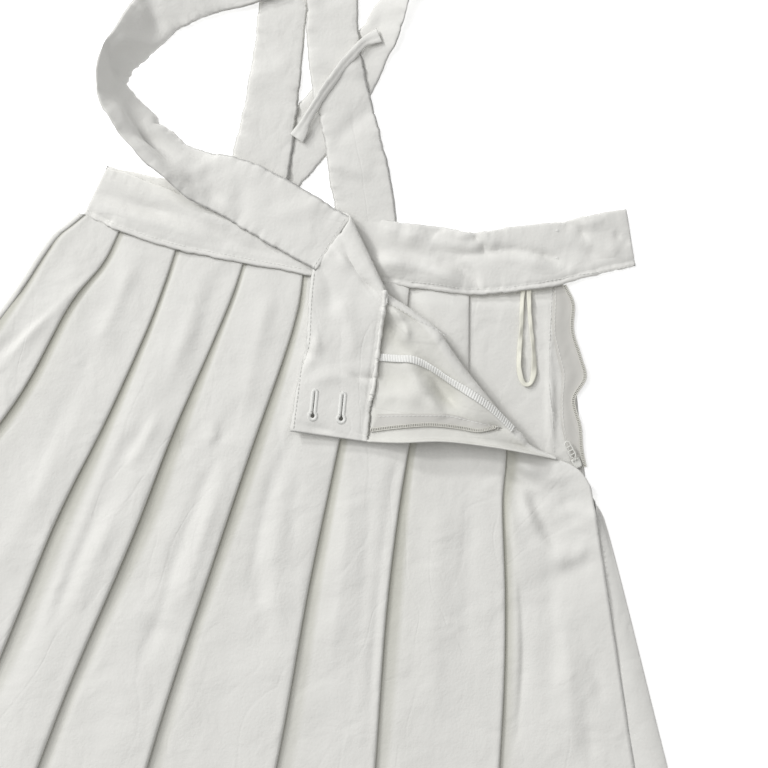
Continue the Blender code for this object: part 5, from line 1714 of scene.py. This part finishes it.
def add_keeper():
    """Narrow folded loop that holds the straps, tacked down at both ends."""
    length = strap_length(KEEPER_PATH)
    shares, across = station_shares(90, length), border_spread(11)
    grid = strip_grid(KEEPER_PATH, shares, across, puckered=0.5)
    crease = -0.5 * np.exp(-((across[None] - 0.25 + 0.5 * shares[:, None]) / 0.3) ** 2)
    grid[..., 2] += crease + 0.6 * (1.0 - across ** 2)
    thick = 1.3 * rounded(across, 3.0)[None] * end_thickness(shares, length)[:, None]
    piece = shell_piece("keeper", grid, thick, look_of("twill"), "twill", ("keeper_loop",))
    declare_sheet(grid)


def add_hanger():
    """Satin hanger: one narrow strip folded to a loop, each strand a little twisted."""
    length = strap_length(HANGER_STRANDS)
    shares, across = station_shares(150, length), border_spread(9)
    grid = strip_grid(HANGER_STRANDS, shares, across)
    grid[..., 2] += 0.35 * np.sin(0.5 * length * shares)[:, None] * across[None]
    thick = 0.75 * rounded(across, 4.0)[None] * end_thickness(shares, length, 0.5)[:, None]
    shell_piece("hanger", grid, thick, look_of("satin"), "satin", ("hanger_loop",))


def flap_tape_grid():
    """Grid of the zip's front tape, laid on the turned cloth."""
    corner = skirt_front()[1][ROLL_STEPS - 1:]
    rows = smooth(np.array(FLAP_TAPE, float), 80)
    share = np.linspace(0.0, 1.0, 7)
    plan = rows[:, None, :2] + (rows[:, None, 2:] - rows[:, None, :2]) * share[None, :, None]
    laid, normal = laid_on(corner, plan.reshape(-1, 2), 0.0)
    return (laid + normal * 0.8).reshape(len(rows), len(share), 3)


def back_tape_grid():
    """Grid of the zip's back tape: flat at its stitched edge, wavy at its coil."""
    rows = smooth(ZIP_BACK, 130)
    inner = np.column_stack((rows[:, 0], rows[:, 1], np.full(len(rows), 1.7)))
    outer = np.column_stack((rows[:, 2], rows[:, 3], 1.8 + rows[:, 4]))
    share = np.linspace(0.0, 1.0, 9)
    grid = inner[:, None] + (outer - inner)[:, None] * share[None, :, None]
    grid[..., 2] += 0.5 * np.sin(2.2 * math.pi * share)[None] * (rows[:, 4:5] / 2.2)
    return grid


def add_coil(name, line, normal, side, pitch):
    """Coil of the zip: a cord along the tape's edge and one short loop of thread each pitch."""
    length = np.linalg.norm(np.diff(line, axis=0), axis=1).sum()
    at = np.linspace(0.0, 1.0, int(length / pitch))
    centre = at_lengths(line, at)
    tangent = unit(np.gradient(centre, axis=0))
    up = unit(np.column_stack([np.interp(at, np.linspace(0, 1, len(normal)), column) for column in normal.T]))
    across = unit(np.cross(up, tangent)) * side
    loops = threads(centre + across * 0.5, across, up, 3.1, 0.46, 1.0)
    cord_path = at_lengths(line, np.linspace(0.0, 1.0, 2 * len(centre)))
    cord_up = np.repeat(up, 2, axis=0)
    cords = [rope(cord_path + unit(np.cross(cord_up, unit(np.gradient(cord_path, axis=0)))) * side * shift
                  + cord_up * 0.3, cord_up, 0.36, 6) for shift in (-0.5, 1.6)]
    plan_piece(name, [loops, *cords], look_of("coil"), "tape")


def add_zip_tapes():
    """Both halves of the zip, each a tape with its coil along its last column."""
    for end, grid in (("front", flap_tape_grid()), ("back", back_tape_grid())):
        add_open_sheet("tape_" + end, grid, "tape", TAPE_WALL, "zip_tape_" + end)
        normal = upward(cloth_normals(grid)[:, -1])
        line = grid[:, -1] + normal * 0.6
        inward = ((np.cross(normal, unit(np.gradient(line, axis=0))) * (grid[:, 0] - grid[:, -1])).sum() > 0)
        add_coil("coil_" + end, line, normal, 1.0 if inward else -1.0, size_of("coil_pitch"))


def add_straps():
    """The two straps, each from its first seam to its last."""
    add_strap("strap_first", STRAP_ONE, STRAP_ONE_CREASES, (),
              (ONE_FIRST_SIDE, ONE_LAST_SIDE), 420, "strap_1")
    add_strap("strap_second", STRAP_TWO, STRAP_TWO_CREASES, STRAP_TWO_FOLDS,
              (TWO_FIRST_SIDE, TWO_LAST_SIDE), 520, "strap_2")


def cut_buttonholes(piece):
    """Cuts the keyholes through the band: a slit that ends in a round eye."""
    cutters = []
    for slit_x, slit_y, eye_x, eye_y in BUTTONHOLES:
        outline = keyhole(slit_x, slit_y, eye_x, eye_y, 0.0)[::2]
        low, high = (np.column_stack((outline, np.full(len(outline), z))) for z in (5.0, 20.0))
        count = len(outline)
        mesh = bpy.data.meshes.new("keyhole")
        faces = tube_faces(2, count).tolist()
        faces += [tuple(reversed(range(count))), tuple(range(count, 2 * count))]
        mesh.from_pydata((np.concatenate((low, high)) - ORIGIN) * MM, [], faces)
        cutter = bpy.data.objects.new("keyhole", mesh)
        bpy.context.scene.collection.objects.link(cutter)
        boolean = piece.modifiers.new("Keyhole", 'BOOLEAN')
        boolean.operation = 'DIFFERENCE'
        boolean.solver = 'EXACT'
        boolean.object = cutter
        cutters.append(cutter)
    bpy.context.view_layer.update()
    cut = bpy.data.meshes.new_from_object(piece.evaluated_get(bpy.context.evaluated_depsgraph_get()))
    piece.modifiers.clear()
    piece.data = cut
    for cutter in cutters:
        bpy.data.meshes.remove(cutter.data)


def keyhole(slit_x, slit_y, eye_x, eye_y, out):
    """Outline of a keyhole, moved out by a distance: a half circle, a slit and most of a circle."""
    length = math.hypot(slit_x - eye_x, slit_y - eye_y)
    along = np.array((slit_x - eye_x, slit_y - eye_y)) / length
    across = np.array((along[1], -along[0]))
    half, eye = SLIT_HALF + out, EYE_RADIUS + out
    bite = math.asin(half / eye)
    turn = np.linspace(0.5 * math.pi + bite, 2.5 * math.pi - bite, 24)
    top = np.linspace(0.0, math.pi, 9)
    straight = np.linspace(eye * math.cos(bite), length, 14)[1:-1]
    sides = np.full(len(straight), half)
    across_by = np.concatenate((eye * np.cos(turn), sides, half * np.cos(top), -sides))
    along_by = np.concatenate((eye * np.sin(turn), straight, length + half * np.sin(top), straight[::-1]))
    return np.array((eye_x, eye_y)) + across_by[:, None] * across + along_by[:, None] * along


def add_buttonhole_borders():
    """Close stitches across the edge of each keyhole."""
    borders = []
    for hole in BUTTONHOLES:
        path = keyhole(*hole, 1.05)
        path = at_lengths(np.column_stack((path, np.zeros(len(path)))), np.linspace(0.0, 1.0, 76))[:, :2]
        centre, normal = laid_on(front_band()[ROLLED_STATIONS:], path, 1.0)
        tangent = np.cross(normal, unit(np.gradient(centre, axis=0)))
        borders.append(threads(centre, unit(tangent), normal, 2.7, 0.4, 1.0))
    plan_piece("buttonhole_borders", borders, look_of("thread"), "twill")


def add_beaded_edge():
    """The uneven roll of cloth along the turned band's seam."""
    pitch = 0.5
    centre, normal = laid_on(front_band()[ROLLED_STATIONS:], even_path(BEADED_EDGE, pitch), 0.2)
    at = np.arange(len(centre)) * pitch
    radius = 1.5 + 0.16 * np.sin(at / 1.15) + 0.22 * np.sin(at / 2.3 + 1.0)
    plan_piece("beaded_edge", [rope(centre, normal, radius, 10)], look_of("twill"), "twill")


def add_serged_edge():
    """The overlocked edge: a ribbon with slanted ribs, at the evened height of the cloth under it."""
    edge = even_path(SERGED_EDGE, SERGED_PITCH / 4.0)
    laid, normal = laid_on(skirt_front()[1][ROLL_STEPS // 2 + 2:], edge, 0.0)
    beyond = SERGED_EVENED // 2
    rows = np.pad(np.column_stack((laid[:, 2], normal)), ((beyond, beyond), (0, 0)), mode="edge")
    mean = np.full(SERGED_EVENED, 1.0 / SERGED_EVENED)
    rows = np.column_stack([np.convolve(row, mean, mode="valid") for row in rows.T])
    centre, normal = np.column_stack((edge, rows[:, 0])), unit(rows[:, 1:])
    side = np.cross(normal, unit(np.gradient(centre, axis=0)))
    across = border_spread(9)
    ribbon = (centre + normal * SERGED_LIFT)[:, None] + side[:, None] * (SERGED_HALF * across)[None, :, None]
    turns = 0.25 * np.arange(len(edge))[:, None] + 0.35 * across[None]
    thick = rounded(across, 4.0)[None] * (0.9 + 0.7 * np.sin(2.0 * math.pi * turns))
    shell_piece("serged_edge", ribbon, thick, look_of("thread"), "twill")


def add_top_stitching():
    """The rows of stitches on bands, strap, tapes and cloth."""
    front, tape, back_tape = front_band(), flap_tape_grid(), back_tape_grid()
    tape_edge, back_tape_edge = tape[2:-2:8, 1, :2], back_tape[2:-2:10, 1, :2]
    rows = (
        # cloth, line, height over it
        (front[ROLLED_STATIONS:], TURNED_EDGE_STITCH, 1.05),
        (front_strap(), STRAP_SEAM, 0.95),
        (front[:FLAT_STATIONS], FRONT_BAND_SEAM, 1.05),
        (back_band_only(), BACK_BAND_SEAM, 1.05),
        (skirt_front()[1][ROLL_STEPS - 1:], FACING_LINE, 0.4),
        (tape, tape_edge, 0.4),
        (back_tape, back_tape_edge, 0.4),
        (back_grid(BACK_SHARES)[0], BACK_SIDE_STITCH, 0.4),
    )
    pitch, length = size_of("stitch_pitch"), size_of("stitch_length")
    stitches = [seam_threads(grid, line, pitch, length, 0.2, lift) for grid, line, lift in rows]
    plan_piece("top_stitching", stitches, look_of("thread"), "twill")


def add_button_threads():
    """Crossed threads on the inside of the back band, one cross for each button."""
    crosses = []
    for x, y in BUTTONS:
        places = np.array(((x - 0.5, y), (x, y + 0.3), (x + 0.5, y)))
        for slope in (-1.0, 1.0):
            centre, normal = laid_on(back_band_only(), places, 1.0)
            plan = np.array((0.7, slope, 0.0))
            tangent = unit(plan - normal * (normal @ plan)[:, None])
            crosses.append(threads(centre, tangent, normal, 2.4, 0.2, 0.8))
    plan_piece("button_threads", crosses, look_of("thread"), "button")


class SkirtSizes(bpy.types.PropertyGroup):
    """Sizes of the skirt's cloth and sewing."""

    cloth_wall: FloatProperty(name="Cloth", description="Thickness of the cloth", default=0.0006,
                              min=0.0001, unit='LENGTH', subtype='DISTANCE', precision=5)
    band_wall: FloatProperty(name="Waistband", description="Thickness of a folded waistband", default=0.0019,
                             min=0.0005, unit='LENGTH', subtype='DISTANCE', precision=5)
    strap_wall: FloatProperty(name="Strap", description="Thickness of a folded strap", default=0.0016,
                              min=0.0005, unit='LENGTH', subtype='DISTANCE', precision=5)
    stitch_pitch: FloatProperty(name="Stitch pitch", description="Step from one top stitch to the next",
                                default=0.0029, min=0.001, unit='LENGTH', subtype='DISTANCE', precision=5)
    stitch_length: FloatProperty(name="Stitch length", description="Length of one top stitch",
                                 default=0.0023, min=0.0005, unit='LENGTH', subtype='DISTANCE', precision=5)
    coil_pitch: FloatProperty(name="Coil pitch", description="Step from one turn of the coil to the next",
                              default=0.00125, min=0.0005, unit='LENGTH', subtype='DISTANCE', precision=5)


class SkirtColours(bpy.types.PropertyGroup):
    """Colours of the skirt's cloth, tape, thread and hard pieces."""

    cloth: FloatVectorProperty(name="Cloth", description="Colour of the twill", subtype='COLOR',
                               default=(0.748, 0.742, 0.712), min=0.0, max=1.0)
    tape: FloatVectorProperty(name="Zip tape", description="Colour of the zip's woven tape",
                              subtype='COLOR', default=(0.57, 0.56, 0.53), min=0.0, max=1.0)
    hanger: FloatVectorProperty(name="Hanger", description="Colour of the satin hanger loop",
                                subtype='COLOR', default=(0.78, 0.77, 0.68), min=0.0, max=1.0)
    zip_metal: FloatVectorProperty(name="Slider", description="Colour of the lacquered slider and tab",
                                   subtype='COLOR', default=(0.74, 0.74, 0.70), min=0.0, max=1.0)
    coil: FloatVectorProperty(name="Coil", description="Colour of the zip's coil",
                              subtype='COLOR', default=(0.64, 0.63, 0.58), min=0.0, max=1.0)
    button: FloatVectorProperty(name="Button", description="Colour of the buttons",
                                subtype='COLOR', default=(0.80, 0.80, 0.77), min=0.0, max=1.0)
    thread: FloatVectorProperty(name="Thread", description="Colour of the sewing thread",
                                subtype='COLOR', default=(0.80, 0.80, 0.775), min=0.0, max=1.0)


class SkirtFront(bpy.types.Operator):
    """Makes the pleated front with its corner turned over"""

    bl_idname = "skirt.front"
    bl_label = "Front"

    def execute(self, context):
        add_front()
        return {'FINISHED'}


class SkirtBack(bpy.types.Operator):
    """Makes the pleated back"""

    bl_idname = "skirt.back"
    bl_label = "Back"

    def execute(self, context):
        add_open_sheet("skirt_back", back_grid(BACK_SHARES)[0], "twill", size_of("cloth_wall"),
                       "back_panel")
        return {'FINISHED'}


class SkirtBands(bpy.types.Operator):
    """Makes the two waistbands"""

    bl_idname = "skirt.bands"
    bl_label = "Waistbands"

    def execute(self, context):
        cut_buttonholes(add_band("band_front", front_band(), "front_waistband"))
        add_band("band_back", back_band_only(), "back_waistband")
        return {'FINISHED'}


class SkirtStraps(bpy.types.Operator):
    """Makes the two straps"""

    bl_idname = "skirt.straps"
    bl_label = "Straps"

    def execute(self, context):
        add_straps()
        return {'FINISHED'}


class SkirtLoops(bpy.types.Operator):
    """Makes the keeper of the straps and the satin hanger"""

    bl_idname = "skirt.loops"
    bl_label = "Keeper and hanger"

    def execute(self, context):
        add_keeper()
        add_hanger()
        return {'FINISHED'}


class SkirtZip(bpy.types.Operator):
    """Makes the zip: two tapes with their coils, the slider and the pull tab"""

    bl_idname = "skirt.zip"
    bl_label = "Zip"

    def execute(self, context):
        add_zip_tapes()
        add_slider()
        add_pull_tab()
        return {'FINISHED'}


class SkirtButtons(bpy.types.Operator):
    """Makes the two buttons"""

    bl_idname = "skirt.buttons"
    bl_label = "Buttons"

    def execute(self, context):
        add_buttons()
        return {'FINISHED'}


class SkirtSewing(bpy.types.Operator):
    """Makes the visible stitches and the sewn edges"""

    bl_idname = "skirt.sewing"
    bl_label = "Sewing"

    def execute(self, context):
        add_buttonhole_borders()
        add_beaded_edge()
        add_serged_edge()
        add_top_stitching()
        add_button_threads()
        return {'FINISHED'}


class SkirtStage(bpy.types.Operator):
    """Makes the pale floor, the soft lights and the camera"""

    bl_idname = "skirt.stage"
    bl_label = "Stage"

    def execute(self, context):
        add_stage()
        return {'FINISHED'}


CAMERA_HEIGHT = 1.2
CAMERA_LENS = 78.1
PHOTO_CENTRE = spot(384, 384)
LIGHT_TARGET = (0.05, -0.02, 0.0)
FLOOR_REACH = 6.0
FLOOR_DOWN = 0.0002                      # the floor lies this much below the garment
LAMPS = (
    # name, angle in the photo, distance, height, width, watts
    ("window_high", 145.0, 5.0, 3.7, 0.75, 84.0),
    ("window_low", 132.0, 5.0, 2.5, 0.6, 84.0),
    ("soft_sheet", 148.0, 2.8, 3.9, 3.3, 90.0),
)


def add_light(name, place, size, watts):
    """A round lamp that shines on the garment."""
    lamp = bpy.data.lights.new(name, 'AREA')
    lamp.shape = 'DISK'
    lamp.size = size
    lamp.energy = watts
    light = bpy.data.objects.new(name, lamp)
    light.location = place
    light.rotation_euler = (Vector(LIGHT_TARGET) - Vector(place)).to_track_quat('-Z', 'Y').to_euler()
    bpy.context.scene.collection.objects.link(light)


def add_stage():
    """White floor, soft white room, lamps and the camera, which looks straight down."""
    scene = bpy.context.scene
    scene.view_settings.view_transform = 'Standard'
    mesh = bpy.data.meshes.new("floor")
    corners = [(x * FLOOR_REACH, y * FLOOR_REACH, -FLOOR_DOWN)
               for x, y in ((-1, -1), (1, -1), (1, 1), (-1, 1))]
    mesh.from_pydata(corners, [], [(0, 1, 2, 3)])
    floor = bpy.data.objects.new("floor", mesh)
    scene.collection.objects.link(floor)
    look, _, _, shader = new_look("floor_white", (0.94, 0.94, 0.94), 0.9)
    shader.inputs["Specular IOR Level"].default_value = 0.0
    shader.inputs["Emission Color"].default_value = (1.0, 1.0, 1.0, 1.0)
    shader.inputs["Emission Strength"].default_value = 0.45
    mesh.materials.append(look)
    world = bpy.data.worlds.new("soft_room")
    world.use_nodes = True
    room = world.node_tree.nodes["Background"].inputs
    room["Color"].default_value = (1.0, 1.0, 1.0, 1.0)
    room["Strength"].default_value = 0.43
    scene.world = world
    turn = math.radians(PHOTO_TURN)
    # All from the left and a little from above, as turned with the camera.
    for name, angle, distance, rise, size, watts in LAMPS:
        a = math.radians(angle) + turn
        add_light(name, (distance * math.cos(a), distance * math.sin(a), rise), size, watts)
    camera_data = bpy.data.cameras.new("camera")
    camera = bpy.data.objects.new("camera", camera_data)
    scene.collection.objects.link(camera)
    camera.location = ((PHOTO_CENTRE[0] - ORIGIN[0]) * MM, (PHOTO_CENTRE[1] - ORIGIN[1]) * MM, CAMERA_HEIGHT)
    camera.rotation_euler = (0.0, 0.0, turn)
    camera_data.lens = CAMERA_LENS
    scene.camera = camera


class SkirtPanel(bpy.types.Panel):
    """Lists the steps that make the skirt"""

    bl_idname = "VIEW3D_PT_suspender_skirt"
    bl_label = "Suspender Skirt"
    bl_space_type = 'VIEW_3D'
    bl_region_type = 'UI'
    bl_category = "Suspender Skirt"

    def draw(self, context):
        for step in STEPS:
            self.layout.operator(step.bl_idname)
        scene = context.scene
        for group, kept in ((SkirtSizes, scene.skirt_sizes), (SkirtColours, scene.skirt_colours)):
            for name in group.__annotations__:
                self.layout.prop(kept, name)


STEPS = (SkirtFront, SkirtBack, SkirtBands, SkirtStraps, SkirtLoops, SkirtZip, SkirtButtons, SkirtSewing,
         SkirtStage)


def register():
    for item in (SkirtSizes, SkirtColours, *STEPS, SkirtPanel):
        bpy.utils.register_class(item)
    bpy.types.Scene.skirt_sizes = PointerProperty(type=SkirtSizes)
    bpy.types.Scene.skirt_colours = PointerProperty(type=SkirtColours)


def unregister():
    del bpy.types.Scene.skirt_colours
    del bpy.types.Scene.skirt_sizes
    for item in reversed((SkirtSizes, SkirtColours, *STEPS, SkirtPanel)):
        bpy.utils.unregister_class(item)


def main():
    register()
    bpy.ops.skirt.front()
    bpy.ops.skirt.back()
    bpy.ops.skirt.bands()
    bpy.ops.skirt.straps()
    bpy.ops.skirt.loops()
    bpy.ops.skirt.zip()
    bpy.ops.skirt.buttons()
    bpy.ops.skirt.sewing()
    bpy.ops.skirt.stage()


if __name__ == "__main__":
    main()
